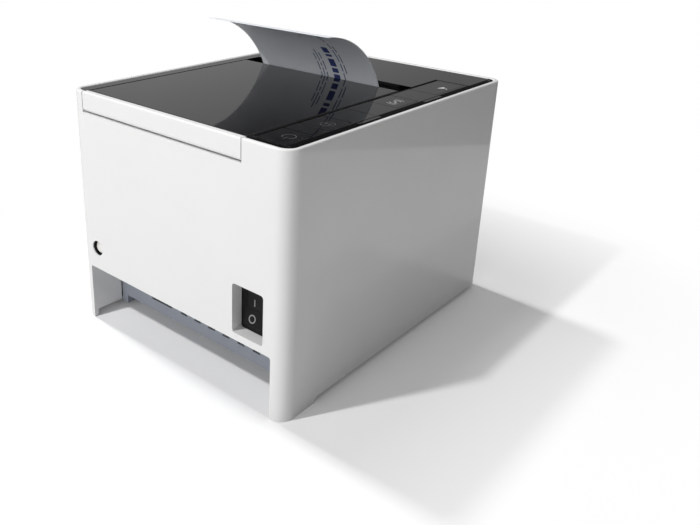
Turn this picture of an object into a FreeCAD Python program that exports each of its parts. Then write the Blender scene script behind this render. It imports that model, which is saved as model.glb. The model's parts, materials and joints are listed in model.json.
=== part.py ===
import FreeCAD, Part
import math
import os
from FreeCAD import Vector

# A thermal receipt printer with a rear-hinged lid, in millimetres.
# +Z is up, the front is at -Y, the keys are on the -X side, the origin is at the middle of the footprint.

# Clearances
seam = 0.5                  # visible gap between neighbouring covers
fit_gap = 0.4               # trays and panels inside the case
panel_fit = 0.15            # top bezel inside the case rim
slide_gap = 0.2             # sliding pieces
run_gap = 0.05              # shafts and pins in their bores
press_gap = 0.02            # pressed pieces
seat_gap = 0.3              # pieces that only rest near each other
past = 1.0                  # how far a cut runs past the face that it opens
root = 0.1                  # how far a rib is let into the wall that it stands on

# Paper
paper_width = 79.5
paper_thick = 0.2
roll_radius = 36.0
core_radius = 9.0
core_bore = 6.5
web_bend_radius = 12.0
web_bend_drop = 2.0         # platen's underside to the bend in the web
receipt_entry_curl = 12.0   # bend inside the slot
receipt_lean = 66.0         # degrees above level where the receipt leaves the slot
receipt_curl = 50.0
receipt_tip_lean = 2.0      # degrees above level at the tip

# Bucket for the paper roll
bucket_radius = 42.0
bucket_wall = 2.0
bucket_side = 1.5
bucket_side_gap = 0.55
bucket_rim_drop = 13.0
bucket_shoulder = 5.5       # platen's rear side to the shoulder of the bucket's cheek
ramp_drop = 34.0
bucket_rear_gap = 5.6
bucket_foot_spread = 28.0
bucket_foot_thick = 3.0
bucket_foot_height = 6.0
bucket_foot_gap = 2.7       # rear foot to the sockets

# Print mechanism
print_setback = 60.2        # front face to the print line
roll_offset = 63.8          # print line to the roll centre
platen_drop = 14.0          # lid top to the platen axis
platen_radius = 6.0
platen_shaft_radius = 2.0
nip_gap = 0.25
frame_sheet = 1.2
frame_front_margin = 0.8    # blade's front end to the frame's front edge
frame_top_gap = 1.2         # blade's underside to the frame's top edge
sole_depth = 24.0
mech_screw_inset = 6.0      # frame's front edge to its screws
mech_screw_side = 10.0      # frame's side plate to its screws
brace_below = 2.0           # brace's lower edge under the head's pivot
brace_gap = 1.0             # brace's upper edge under the cutter's base
gear_module = 0.6
tooth_tip = 0.9             # tooth height above the pitch line, in modules
tooth_root = 1.2            # tooth depth below the pitch line, in modules
pressure_angle = 20.0       # degrees
gear_face = 4.0
gear_gap = 1.0
gear_backlash = 0.12
platen_teeth = 28
idler_teeth = 40
pinion_teeth = 18
idler_swing = 15.0          # degrees forward of straight below the platen
pinion_swing = 40.0         # degrees below level, forward of the idler
motor_radius = 12.5
motor_length = 19.0
motor_round = 1.0
motor_boss_radius = 3.0
motor_ear = 4.0
motor_ear_thick = 1.0
motor_shaft_radius = 1.0
motor_shaft_hold = 7.0      # length of shaft inside the motor
shaft_end = 1.0             # shaft past the pinion
pin_radius = 1.5
axle_collar_radius = 3.0
axle_end = 1.2              # axle past the idler
arm_thick = 2.5
arm_radius = 7.0
arm_gap = 0.8
bush_radius = 3.5
bush_flange = 0.5
bush_rim = 1.0

# Print head
head_thick = 0.9
head_height = 17.5
head_side_inset = 0.6
head_edge_inset = 1.0
head_cover_inset = 2.0
head_cover_rise = 0.3       # chip cover in front of the printing face
head_cover_low = 0.4
head_cover_height = 2.0
sink_thick = 5.0
sink_lug_radius = 3.0
sink_lug_length = 8.0
sink_groove_depth = 1.0
sink_groove_width = 1.6
sink_groove_first = 2.0
sink_groove_pitch = 3.0
sink_groove_count = 2
head_pivot_drop = 14.5
spring_drop = 2.0           # platen axis to the head springs
spring_length = 12.1
spring_seat_depth = 1.2
spring_radius = 2.6
spring_wire = 0.45
spring_turns = 6
spring_spread = 44.0

# Cutter
blade_thick = 0.8
blade_gap = 0.1
blade_length = 47.8
blade_setback = 3.4         # retracted edge in front of the paper
blade_travel = 6.0
blade_vee = 2.0             # depth of the shallow vee along the cutting edge
fixed_edge = 0.4            # fixed edge behind the paper
fixed_length = 15.0
cutter_plate_drop = 3.9
cutter_rail_width = 4.0
cutter_rail_inset = 6.0
stud_radius = 2.0
stud_head = 3.4
stud_head_thick = 1.0
stud_spacing = 18.0         # front studs to rear studs
stud_edge = 1.45            # rear studs to the base's rear edge
cutter_motor_radius = 10.0
cutter_motor_length = 25.0
cutter_boss_radius = 4.0
cutter_motor_x = 17.0       # middle of the lid to the cutter motor
cutter_motor_y = 33.2       # print line to the cutter motor
cutter_teeth = 18
window_room = 1.2           # pinion to the ends of the blade's window
rack_margin = 1.0           # window's ends to the first and last rack teeth

# Top covers
lid_margin = 1.0
lid_front_gap = 2.1         # paper to the lid's front edge
slot_width = 11.5
top_drop = 0.3
panel_thick = 2.4
liner_thick = 2.0
liner_setback = 1.5         # lid's front edge to its frame
liner_inset = 2.0           # lid's edge to its frame on the strip side
liner_ledge_inset = 4.0     # lid's edge to its frame on the ledge side
collar_reach = 4.0
rib_depth = 3.5
rib_thick = 1.6
rib_gap = 1.0
rib_inset = 2.0
edge_round = 0.8
flap_height = 9.9
flap_thick = 3.6
flap_relief = 2.0           # room in front of the flap
flap_flange = 10.0
flange_thick = 2.0
flange_inset = 3.0
flange_screw_inset = 12.0
hinge_pin_radius = 0.9
hinge_pin_hold = 3.5
hinge_pin_reach = 9.0
hinge_boss_wall = 1.0
left_band = 6.45
right_band = 3.55
bezel_skirt = 1.6           # thickness of the bezel's skirt and ledge
bezel_skirt_depth = 5.0
bezel_skirt_end = 30.0      # skirt's ends from the front and rear faces
bezel_skirt_side = 20.0     # front skirt's ends from the side faces
ledge_reach = 2.5           # ledge under the lid's edge
ledge_start = 34.0          # platen axis to the ledge's front end
ledge_end = 30.0            # roll centre to the ledge's rear end
chute_wall = 1.5
chute_floor = 1.4
chute_nose = 1.0

# Control strip and keys
strip_width = 18.4
strip_front_gap = 26.7
strip_rear_gap = 6.0
strip_thick = 2.0
strip_wall = 1.2
strip_depth = 11.7
strip_line = 61.0           # strip rear to the scored line between the lamps
strip_hook = 1.5            # reach of the hook under the bezel
strip_hook_inset = 5.0
strip_hook_thick = 1.7
score_width = 0.35
key_round = 0.3
key_travel = 0.5
key_flange = 1.2
key_stop = 0.8              # reach of a key's end flanges
key_stem_radius = 2.0
release_travel = 2.0
release_stop = 0.6
release_stem_thick = 1.5
release_length = 28.2
release_spring_turns = 3
release_spring_closed = 5.1
spring_seat_width = 7.0
feed_key_length = 18.4
feed_key_setback = 55.4     # strip front to the feed key's middle
pause_key_length = 17.0
pause_key_inset = 35.2      # strip rear to the pause key's middle
power_key_length = 16.6
power_key_inset = 9.6       # strip rear to the power key's middle
panel_board_lead = 4.0      # board's front edge ahead of the feed key
panel_board_tail = 1.0      # board's rear edge inside the strip
tact_width = 6.0
tact_height = 4.3
tact_plunger_radius = 1.7
tact_plunger_rise = 0.8

# Latch
latch_setback = 10.2        # pivot in front of the paper
latch_drop = 24.0           # lid top to the pivot
latch_tube = 3.4
latch_pad_rise = 8.0
latch_pad_reach = 9.5
latch_pad_width = 5.0
latch_pad_thick = 3.0
latch_arm_width = 6.0
latch_tail_reach = 11.0     # counterweight behind the pivot
latch_tail_height = 5.6
latch_pin_end = 1.0
hook_foot = 5.0
hook_shank_gap = 1.2        # hook's shank in front of the catch
hook_nose = 1.1             # hook's reach over the catch
hook_lip = 1.5
hook_height = 3.7
hook_width = 3.3
catch_drop = 16.5
catch_height = 3.0
catch_reach = 4.2

# Case
wall = 2.4
corner_radius = 7.0
rim_round = 0.8
under_bay = 32.0            # space below the bucket
roll_headroom = 50.0        # roll centre to the top of the case
bay_height = 31.0
bay_depth = 18.5
bay_round = 1.2
leg_width = 7.5
leg_depth = 22.0
leg_relief = 3.8            # floor to the underside of a leg's inner part
skirt_lift = 2.6
notch_run = 1.6
post_radius = 3.5
post_height = 25.0
post_inset = 10.0
post_pilot = 14.0
switch_inset = 21.0
switch_height = 46.5
recess_width = 18.0
recess_height = 24.0
recess_depth = 7.4
recess_round = 1.6
pocket_wall = 1.6
cap_inset = 13.8
cap_height = 42.6
cap_hole_radius = 4.0
cap_radius = 3.2
cap_depth = 6.0
cap_sink = 1.6
cap_round = 0.6
cap_boss = 1.6
sleeve_wall = 0.4
sleeve_lip = 0.6            # face of the case to the sleeve round the cap

# Base
tray_thick = 2.4
back_wall = 2.0
ceiling_thick = 1.4
step_depth = 10.0           # raised strip of the tray before the bay
step_lift = 7.4             # floor to the raised strip
socket_cover = 0.4          # wall over the tallest socket's opening
foot_radius = 7.0
foot_sink = 0.5
foot_round = 0.5
foot_inset_x = 18.0
foot_inset_y = 18.0
bucket_post_radius = 4.0
vent_width = 4.6
vent_height = 3.0
vent_sill = 13.4
vent_pitch = 10.0
vent_first = 12.2           # middle of the first vent, towards +X
vent_count = 6
screw_shank = 1.2
screw_head = 2.8
screw_head_thick = 1.4
case_screw_length = 12.0
mech_screw_hold = 1.6
board_screw_length = 6.0
lid_screw_short = 0.4       # lid screw's tip under the top of its hole
pilot_floor = 0.6           # tray left under a mechanism screw

# Main board
board_height = 17.4
board_thick = 1.6
board_margin = 14.0
board_front_gap = 20.0      # print line to the board's front edge
board_pilot = 7.0
standoff_radius = 3.0
processor_width = 14.0
processor_height = 1.6
processor_x = 18.5          # board's corner to the middle of the processor
processor_y = 15.0
driver_width = 10.0
driver_depth = 7.0
driver_height = 1.2
driver_x = 47.0             # board's corner to the middle of the motor driver
driver_y = 13.5
capacitor_radius = 4.0
capacitor_height = 6.0
capacitor_x = 16.0          # board's other corner to the first capacitor
capacitor_y = 14.0
capacitor_pitch = 11.0
capacitor_count = 2

# Sockets on the main board: middle, width and height of the body, all of one depth
socket_depth = 15.0
socket_recess = 0.3
socket_wall = 1.6
socket_cavity = 11.0
plug_floor = 3.4            # floor of a modular plug's cavity
network_x = 29.1
network_width = 15.0
network_height = 13.4
usb_x = 7.0
usb_width = 12.0
usb_height = 11.0
usb_round = 1.0
usb_tongue_setback = 1.5
usb_tongue_thick = 2.8
drawer_x = -12.0
drawer_width = 13.4
drawer_height = 12.4
power_x = -32.0
power_width = 14.0
power_height = 12.4
power_bore = 5.0
power_pin_radius = 1.2
power_pin_setback = 1.0

# Rocker switch
bezel_lip = 1.6
bezel_frame = 2.3
bezel_round = 1.0
switch_body_depth = 12.0
rocker_swing = 9.0          # degrees each side of level
rocker_rise = 1.6
rocker_thick = 5.0
rocker_round = 0.35

# Overall sizes follow from the roll, the mechanism and the covers
half_bucket = paper_width / 2 + bucket_side_gap
half_frame = half_bucket + bucket_side + slide_gap
frame_out = half_frame + frame_sheet
gear_lo = frame_out + gear_gap
gear_hi = gear_lo + gear_face
arm_lo = gear_hi + arm_gap
arm_hi = arm_lo + arm_thick
half_lid = arm_hi + lid_margin
inner_width = left_band + right_band + 2 * half_lid + strip_width + 3 * seam + 2 * panel_fit
case_width = inner_width + 2 * wall
case_depth = print_setback + roll_offset + bucket_radius + bucket_wall + bucket_rear_gap + wall
case_height = under_bay + bucket_radius + roll_headroom

# Case limits and levels
half_w = case_width / 2
half_d = case_depth / 2
in_x = half_w - wall
in_y = half_d - wall
panel_top = case_height - top_drop
panel_under = panel_top - panel_thick
liner_under = panel_under - liner_thick
tray_top = skirt_lift + tray_thick
bay_back = half_d - bay_depth
bay_half = half_w - leg_width
board_top = board_height + board_thick
socket_rear = bay_back - socket_recess
socket_front = socket_rear - socket_depth
bay_wall_top = board_top + network_height + slide_gap + socket_cover

# Lid, strip and hinge places
lid_hi = in_x - panel_fit - left_band - seam
lid_lo = lid_hi - 2 * half_lid
lid_mid = (lid_lo + lid_hi) / 2
strip_hi = lid_lo - seam
strip_lo = strip_hi - strip_width
strip_mid = (strip_lo + strip_hi) / 2
strip_front = -half_d + strip_front_gap
strip_rear = half_d - strip_rear_gap
flap_front = half_d - flap_thick
hinge_y = half_d - flap_thick / 2
hinge_z = case_height - flap_height + flap_thick / 2

# Print line, platen and roll places
print_y = -half_d + print_setback
platen_y = print_y + paper_thick / 2 + nip_gap + platen_radius
platen_z = case_height - platen_drop
lid_front = print_y + lid_front_gap
slot_front = lid_front - slot_width
bucket_y = in_y - bucket_rear_gap - bucket_wall - bucket_radius
bucket_z = under_bay + bucket_radius
bucket_rim = case_height - bucket_rim_drop
roll_z = under_bay + seat_gap + roll_radius
rear_foot_y = socket_front - bucket_foot_gap - bucket_foot_thick / 2
front_foot_y = rear_foot_y - bucket_foot_spread

# Cutter places
blade_top = liner_under - blade_thick - blade_gap
blade_under = blade_top - blade_thick
blade_edge = print_y - blade_setback
blade_front = blade_edge - blade_length
cutter_z = blade_top - cutter_plate_drop
cutter_x = lid_mid + cutter_motor_x
cutter_y = print_y - cutter_motor_y
cutter_pitch_radius = gear_module * cutter_teeth / 2

# Print head places
head_face = print_y - paper_thick / 2 - nip_gap
sink_rear = head_face - head_thick
sink_front = sink_rear - sink_thick
head_top = blade_under - 2 * seat_gap
head_bottom = head_top - head_height
pivot_y = sink_front + sink_lug_radius / 2
pivot_z = platen_z - head_pivot_drop
spring_wall_y = sink_front - spring_length
spring_z = platen_z - spring_drop
frame_front = blade_front - frame_front_margin

# Gear train places
idler_turn = math.radians(idler_swing)
idler_reach = gear_module * (platen_teeth + idler_teeth) / 2
idler_y = platen_y - idler_reach * math.sin(idler_turn)
idler_z = platen_z - idler_reach * math.cos(idler_turn)
pinion_turn = math.radians(pinion_swing)
pinion_reach = gear_module * (idler_teeth + pinion_teeth) / 2
pinion_y = idler_y - pinion_reach * math.cos(pinion_turn)
pinion_z = idler_z - pinion_reach * math.sin(pinion_turn)

# Latch places
latch_y = print_y - latch_setback
latch_z = case_height - latch_drop
pad_top = latch_z + latch_pad_rise
pad_y = latch_y - latch_pad_reach
catch_top = case_height - catch_drop
catch_front = print_y - catch_reach
latch_arm_hi = strip_hi - strip_wall - latch_arm_width
latch_arm_lo = latch_arm_hi - latch_arm_width

# Switch, plug and key board places
switch_x = -half_w + switch_inset
pocket_floor = half_d - recess_depth
cap_x = half_w - cap_inset
panel_board_top = panel_top - strip_depth
panel_board_under = panel_board_top - board_thick
tact_top = panel_board_top + tact_height
key_shelf = panel_top - strip_thick - slide_gap
key_under = key_shelf - key_flange
spring_seat_top = key_under - release_travel - release_spring_closed


def box(x0, x1, y0, y1, z0, z1):
    return Part.makeBox(x1 - x0, y1 - y0, z1 - z0, Vector(x0, y0, z0))


def bar_x(y, z, radius, x0, x1):
    return Part.makeCylinder(radius, x1 - x0, Vector(x0, y, z), Vector(1, 0, 0))


def bar_y(x, z, radius, y0, y1):
    return Part.makeCylinder(radius, y1 - y0, Vector(x, y0, z), Vector(0, 1, 0))


def bar_z(x, y, radius, z0, z1):
    return Part.makeCylinder(radius, z1 - z0, Vector(x, y, z0), Vector(0, 0, 1))


def tube_x(y, z, radius, bore, x0, x1):
    return bar_x(y, z, radius, x0, x1).cut(bar_x(y, z, bore, x0 - past, x1 + past))


def slab_x(points, x0, x1):
    """A (y, z) outline carried along X."""
    corners = [Vector(x0, y, z) for y, z in points]
    return Part.Face(Part.makePolygon(corners + corners[:1])).extrude(Vector(x1 - x0, 0, 0))


def slab_z(points, z0, z1):
    """An (x, y) outline carried along Z."""
    corners = [Vector(x, y, z0) for x, y in points]
    return Part.Face(Part.makePolygon(corners + corners[:1])).extrude(Vector(0, 0, z1 - z0))


def fuse(first, *others):
    return first.multiFuse(list(others)).removeSplitter()


def soften(shape, radius, chosen):
    """Round every edge whose vertices all pass the test."""
    edges = [e for e in shape.Edges if all(chosen(v.Point) for v in e.Vertexes)]
    return shape.makeFillet(radius, edges)


def along(shape, radius, direction):
    """Round the straight edges that run along a direction."""
    edges = [e for e in shape.Edges if abs(e.tangentAt(e.FirstParameter).dot(direction)) > 0.999]
    return shape.makeFillet(radius, edges)


def upright_block(x0, x1, y0, y1, z0, z1, radius):
    """A block with rounded upright corners."""
    return along(box(x0, x1, y0, y1, z0, z1), radius, Vector(0, 0, 1))


def at_height(z):
    return lambda point: abs(point.z - z) < 1e-6


def side_span(sign, near, far):
    """The x range of a piece that lies near to far from the middle of the lid, on one side."""
    ends = sorted((lid_mid + sign * near, lid_mid + sign * far))
    return ends[0], ends[1]


def gear_outline(teeth, phase):
    """Involute tooth outline points (u, v) of a gear whose first tooth points along phase."""
    angle = math.radians(pressure_angle)
    pitch = gear_module * teeth / 2
    base = pitch * math.cos(angle)
    tip = pitch + tooth_tip * gear_module
    foot = pitch - tooth_root * gear_module
    half_tooth = math.pi / (2 * teeth) - gear_backlash / (4 * pitch)
    start = max(base, foot)
    flank = []
    for step in range(5):
        radius = start + (tip - start) * step / 4
        roll = math.acos(min(1.0, base / radius))
        flank.append((radius, half_tooth + math.tan(angle) - angle - (math.tan(roll) - roll)))
    if foot < base:
        flank.insert(0, (foot, flank[0][1]))
    points = []
    for tooth in range(teeth):
        middle = phase + 2 * math.pi * tooth / teeth
        points += [(radius, middle - offset) for radius, offset in flank]
        points += [(radius, middle + offset) for radius, offset in reversed(flank)]
    return [(r * math.cos(a), r * math.sin(a)) for r, a in points]


def gear_x(teeth, y, z, phase, bore):
    outline = [(y + u, z + v) for u, v in gear_outline(teeth, phase)]
    x0, x1 = side_span(1, gear_lo, gear_hi)
    return slab_x(outline, x0, x1).cut(bar_x(y, z, bore, x0 - past, x1 + past))


def coil(radius, wire, length, turns):
    """A helical spring on +Z from the origin, with its wire inside the length."""
    rise = length - 2 * wire
    path = Part.Wire(Part.makeHelix(rise / turns, rise, radius).Edges)
    ring = Part.Wire(Part.makeCircle(wire, Vector(radius, 0, 0), Vector(0, 1, 0)))
    spring = path.makePipeShell([ring], True, True)
    spring.translate(Vector(0, 0, wire))
    return spring


def strip_of_paper(edges, start, direction):
    """Paper of full width carried along a path of lines and arcs in the YZ plane."""
    across = Vector(paper_width / 2, 0, 0)
    normal = Vector(0, -direction[1], direction[0]) * (paper_thick / 2)
    middle = Vector(lid_mid, start[0], start[1])
    corners = [middle - across - normal, middle + across - normal,
               middle + across + normal, middle - across + normal]
    profile = Part.makePolygon(corners + corners[:1])
    return Part.Wire(edges).makePipeShell([profile], True, False)


def arc_edge(centre, radius, start, end):
    """An arc in the YZ plane at the middle of the lid, between two angles in radians."""
    def spot(angle):
        return Vector(lid_mid, centre[0] + radius * math.cos(angle), centre[1] + radius * math.sin(angle))
    return Part.Arc(spot(start), spot((start + end) / 2), spot(end)).toShape()


def line_edge(a, b):
    return Part.LineSegment(Vector(lid_mid, a[0], a[1]), Vector(lid_mid, b[0], b[1])).toShape()


def screw_z(x, y, seat, head_up, shank):
    """A pan screw on Z: its head's seat, whether the head points up, and the shank's length."""
    sign = 1 if head_up else -1
    head = sorted((seat, seat + sign * screw_head_thick))
    body = sorted((seat, seat - sign * shank))
    return fuse(bar_z(x, y, screw_head, head[0], head[1]), bar_z(x, y, screw_shank, body[0], body[1]))


# Places of repeated pieces
def case_post_places():
    x = in_x - post_radius
    ys = (-in_y + post_inset, half_d - leg_depth - post_inset)
    return [(sx * x, y) for sx in (1, -1) for y in ys]


def foot_places():
    x = half_w - foot_inset_x
    ys = (-half_d + foot_inset_y, bay_back - foot_inset_y)
    return [(sx * x, y) for sx in (1, -1) for y in ys]


def board_limits():
    x = half_w - board_margin
    return -x, x, print_y + board_front_gap, bay_back - back_wall - seam


def standoff_places():
    x0, x1, y0, y1 = board_limits()
    inset = 2 * standoff_radius
    return [(x, y) for x in (x0 + inset, x1 - inset) for y in (y0 + inset, y1 - inset)]


def bucket_post_places():
    x = half_bucket - 2 * bucket_post_radius
    return [(lid_mid + sx * x, y) for sx in (1, -1) for y in (rear_foot_y, front_foot_y)]


def mech_screw_places():
    x = half_frame - mech_screw_side
    return [(lid_mid + sx * x, frame_front + mech_screw_inset) for sx in (1, -1)]


def flange_screw_places():
    xs = (lid_lo + flange_screw_inset, lid_mid, lid_hi - flange_screw_inset)
    return [(x, flap_front - flap_flange / 2) for x in xs]


def stud_places():
    xs = [lid_mid + sx * (half_frame - cutter_rail_inset) for sx in (1, -1)]
    rear = spring_wall_y - stud_edge
    return [(x, y) for x in xs for y in (rear - stud_spacing, rear)]


def key_spans():
    """The y range of each key on the control strip."""
    middles = {"release": (strip_front + strip_wall + release_length / 2, release_length),
               "feed": (strip_front + feed_key_setback, feed_key_length),
               "pause": (strip_rear - pause_key_inset, pause_key_length),
               "power": (strip_rear - power_key_inset, power_key_length)}
    return {name: (middle - length / 2, middle + length / 2) for name, (middle, length) in middles.items()}


def lid_ledge_span():
    """The y range over which a ledge of the bezel carries the lid's edge."""
    return platen_y + ledge_start, bucket_y + ledge_end


def web_points():
    """The web's bend below the nip, the direction from it down to the roll, and where it leaves the roll."""
    bend = (print_y, platen_z - platen_radius - web_bend_drop)
    reach = roll_radius + seat_gap + paper_thick / 2
    dy = bucket_y - bend[0]
    dz = roll_z - bend[1]
    far = math.hypot(dy, dz)
    angle = math.atan2(dz, dy) - math.asin(reach / far)
    run = math.sqrt(far * far - reach * reach)
    down = (math.cos(angle), math.sin(angle))
    return bend, down, (bend[0] + run * down[0], bend[1] + run * down[1])


def pocket_block(grow, y0, y1):
    """A block round the switch's recess, larger than it by grow on each side."""
    half_x = recess_width / 2 + grow
    half_z = recess_height / 2 + grow
    return box(switch_x - half_x, switch_x + half_x, y0, y1, switch_height - half_z, switch_height + half_z)


def switch_opening(gap):
    """The hole that the switch body passes through, or the body itself with no gap."""
    return pocket_block(gap - bezel_frame, pocket_floor - switch_body_depth, pocket_floor + gap)


# Case and base
def case_shell():
    outer = upright_block(-half_w, half_w, -half_d, half_d, 0, case_height, corner_radius)
    inner = upright_block(-in_x, in_x, -in_y, in_y, -past, case_height + past, corner_radius - wall)
    shell = soften(outer.cut(inner), rim_round, at_height(case_height))
    extras = []
    for sign in (1, -1):
        leg_x = sorted((sign * bay_half, sign * (half_w + past)))
        leg = box(leg_x[0], leg_x[1], bay_back + fit_gap, half_d + past, 0, bay_height + back_wall)
        extras.append(leg.common(outer))
    boss_reach = hinge_pin_hold + hinge_pin_radius
    for x0 in (lid_hi + seam, lid_lo - seam - boss_reach):
        boss = box(x0, x0 + boss_reach, hinge_y - flap_thick / 2 - hinge_boss_wall, in_y + wall / 2,
                   hinge_z - flap_thick, hinge_z + flap_thick)
        extras.append(boss.common(outer))
    for x, y in case_post_places():
        web = sorted((x, math.copysign(in_x + wall / 2, x)))
        extras.append(bar_z(x, y, post_radius, tray_top, tray_top + post_height))
        extras.append(box(web[0], web[1], y - post_radius, y + post_radius, tray_top,
                          tray_top + post_height))
    extras.append(pocket_block(pocket_wall, pocket_floor - pocket_wall, in_y + wall / 2))
    extras.append(bar_y(cap_x, cap_height, cap_hole_radius + cap_boss, half_d - cap_depth - cap_boss,
                        in_y + wall / 2))
    return fuse(shell, *extras).cut(case_cuts())


def case_cuts():
    """The bay, the switch recess, the raised skirt and legs, the flap's opening and the holes."""
    bay = box(-bay_half, bay_half, in_y - past, half_d + past, -bay_height, bay_height)
    recess = pocket_block(0, pocket_floor, half_d + past)
    heel = half_d - leg_depth
    skirt = [(-half_d - past, -past), (heel, -past), (heel, 0), (heel - notch_run, skirt_lift),
             (-half_d - past, skirt_lift)]
    cuts = [along(bay, bay_round, Vector(0, 1, 0)), along(recess, recess_round, Vector(0, 1, 0)),
            slab_x(skirt, -half_w - past, half_w + past),
            box(lid_lo - seam, lid_hi + seam, flap_front - flap_relief, half_d + past,
                case_height - flap_height - seam, case_height + past),
            switch_opening(fit_gap),
            bar_y(cap_x, cap_height, cap_hole_radius, half_d - cap_depth, half_d + past)]
    for x0, x1 in ((lid_hi, lid_hi + seam + hinge_pin_hold), (lid_lo - seam - hinge_pin_hold, lid_lo)):
        cuts.append(bar_x(hinge_y, hinge_z, hinge_pin_radius + press_gap, x0, x1))
    for x, y in case_post_places():
        cuts.append(bar_z(x, y, screw_shank + press_gap, tray_top - past, tray_top + post_pilot))
    for sign in (1, -1):
        x0, x1 = sorted((sign * (bay_half - past), sign * in_x))
        cuts.append(box(x0, x1, bay_back, in_y, -past, leg_relief))
    return cuts


def base_tray():
    plate = upright_block(-in_x + fit_gap, in_x - fit_gap, -in_y + fit_gap, in_y, skirt_lift, tray_top,
                          corner_radius - wall - fit_gap)
    plate = plate.common(box(-half_w, half_w, -half_d, bay_back, 0, tray_top))
    side = bay_half - fit_gap
    ceiling_top = bay_height + ceiling_thick
    step_y = bay_back - step_depth
    step_side = in_x - 2 * post_radius - fit_gap
    solids = [box(-side, side, bay_back - back_wall, bay_back, skirt_lift, bay_wall_top),
              box(-side, side, bay_back - back_wall, bay_back, skirt_lift, ceiling_top),
              box(-step_side, step_side, step_y - tray_thick, bay_back, skirt_lift, step_lift + tray_thick)]
    for x, y in bucket_post_places():
        solids.append(bar_z(x, y, bucket_post_radius, skirt_lift, under_bay - bucket_foot_height))
    for x, y in standoff_places():
        solids.append(bar_z(x, y, standoff_radius, skirt_lift, board_height))
    ceiling = box(-side, side, bay_back, in_y - fit_gap, bay_height, ceiling_top)
    relief = pocket_block(pocket_wall + fit_gap, bay_back - back_wall - past, half_d)
    under = box(-step_side + tray_thick, step_side - tray_thick, step_y, bay_back + past, 0, step_lift)
    return fuse(fuse(plate, *solids).cut(tray_cuts() + [under]), ceiling).cut(relief)


def wall_opening(x, width, z0, z1):
    """A rectangular opening through the back wall of the bay."""
    return box(x - width / 2, x + width / 2, bay_back - back_wall - past, bay_back + past, z0, z1)


def tray_cuts():
    cuts = []
    for index in range(vent_count):
        x = vent_first - index * vent_pitch
        cuts.append(wall_opening(x, vent_width, vent_sill, vent_sill + vent_height))
    for name, (x, width, height) in socket_bodies().items():
        sill = vent_sill if name == "network" else board_top - slide_gap
        cuts.append(wall_opening(x, width + 2 * slide_gap, sill, board_top + height + slide_gap))
    for x, y in case_post_places():
        cuts.append(bar_z(x, y, screw_shank + slide_gap, 0, tray_top + past))
        cuts.append(bar_z(x, y, screw_head + slide_gap, 0, skirt_lift + screw_head_thick))
    for x, y in mech_screw_places():
        cuts.append(bar_z(x, y, screw_shank + press_gap, skirt_lift + pilot_floor, tray_top + past))
    for x, y in standoff_places():
        cuts.append(bar_z(x, y, screw_shank + press_gap, board_height - board_pilot, board_height + past))
    for x, y in foot_places():
        cuts.append(bar_z(x, y, foot_radius + press_gap, 0, skirt_lift + foot_sink))
    return cuts


def rubber_feet():
    feet = [bar_z(x, y, foot_radius, 0, skirt_lift + foot_sink) for x, y in foot_places()]
    return Part.makeCompound([soften(foot, foot_round, at_height(0)) for foot in feet])


def case_screws():
    seat = skirt_lift + screw_head_thick
    return Part.makeCompound([screw_z(x, y, seat, False, case_screw_length) for x, y in case_post_places()])


def mech_screws():
    seat = tray_top + frame_sheet
    shank = frame_sheet + mech_screw_hold
    return Part.makeCompound([screw_z(x, y, seat, True, shank) for x, y in mech_screw_places()])


def board_screws():
    places = standoff_places()
    return Part.makeCompound([screw_z(x, y, board_top, True, board_screw_length) for x, y in places])


def lid_screws():
    seat = liner_under - flange_thick
    shank = flange_thick + liner_thick - lid_screw_short
    return Part.makeCompound([screw_z(x, y, seat, False, shank) for x, y in flange_screw_places()])


def cap_sleeve():
    """A black sleeve that lines the cap's hole."""
    deep = half_d - cap_depth
    sleeve = bar_y(cap_x, cap_height, cap_hole_radius - press_gap, deep, half_d - sleeve_lip)
    return sleeve.cut(bar_y(cap_x, cap_height, cap_hole_radius - sleeve_wall, deep - past, half_d))


def screw_cap():
    face = half_d - cap_sink
    plug = bar_y(cap_x, cap_height, cap_radius, half_d - cap_depth, face)
    return soften(plug, cap_round, lambda point: abs(point.y - face) < 1e-6)


# Main board and sockets
def chip(x, y, width, depth, height):
    return box(x - width / 2, x + width / 2, y - depth / 2, y + depth / 2, board_top, board_top + height)


def main_board():
    x0, x1, y0, y1 = board_limits()
    parts = [chip(x0 + processor_x, y0 + processor_y, processor_width, processor_width, processor_height),
             chip(x0 + driver_x, y0 + driver_y, driver_width, driver_depth, driver_height)]
    for index in range(capacitor_count):
        x = x1 - capacitor_x - index * capacitor_pitch
        parts.append(bar_z(x, y0 + capacitor_y, capacitor_radius, board_top, board_top + capacitor_height))
    board = fuse(box(x0, x1, y0, y1, board_height, board_top), *parts)
    holes = [(x, y, bucket_post_radius + seam) for x, y in bucket_post_places()]
    holes += [(x, y, screw_shank + slide_gap) for x, y in standoff_places()]
    return board.cut([bar_z(x, y, radius, board_height - past, board_top + past) for x, y, radius in holes])


def socket_bodies():
    """Each socket's middle, width and height."""
    return {"network": (network_x, network_width, network_height), "usb": (usb_x, usb_width, usb_height),
            "drawer": (drawer_x, drawer_width, drawer_height), "power": (power_x, power_width, power_height)}


def socket_block(name):
    """A socket's body on the board, its cavity still closed, its rear face near the bay wall's face."""
    x, width, height = socket_bodies()[name]
    return chip(x, (socket_front + socket_rear) / 2, width, socket_depth, height)


def modular_socket(name):
    """A plug socket with a latch notch below its cavity."""
    x, width, height = socket_bodies()[name]
    deep = socket_rear - socket_cavity
    half = width / 2 - socket_wall
    floor = board_top + plug_floor
    end = socket_rear + past
    cavity = box(x - half, x + half, deep, end, floor, board_top + height - socket_wall)
    notch = box(x - half / 2, x + half / 2, deep, end, board_top + socket_wall, floor + past)
    return socket_block(name).cut([cavity, notch])


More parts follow.
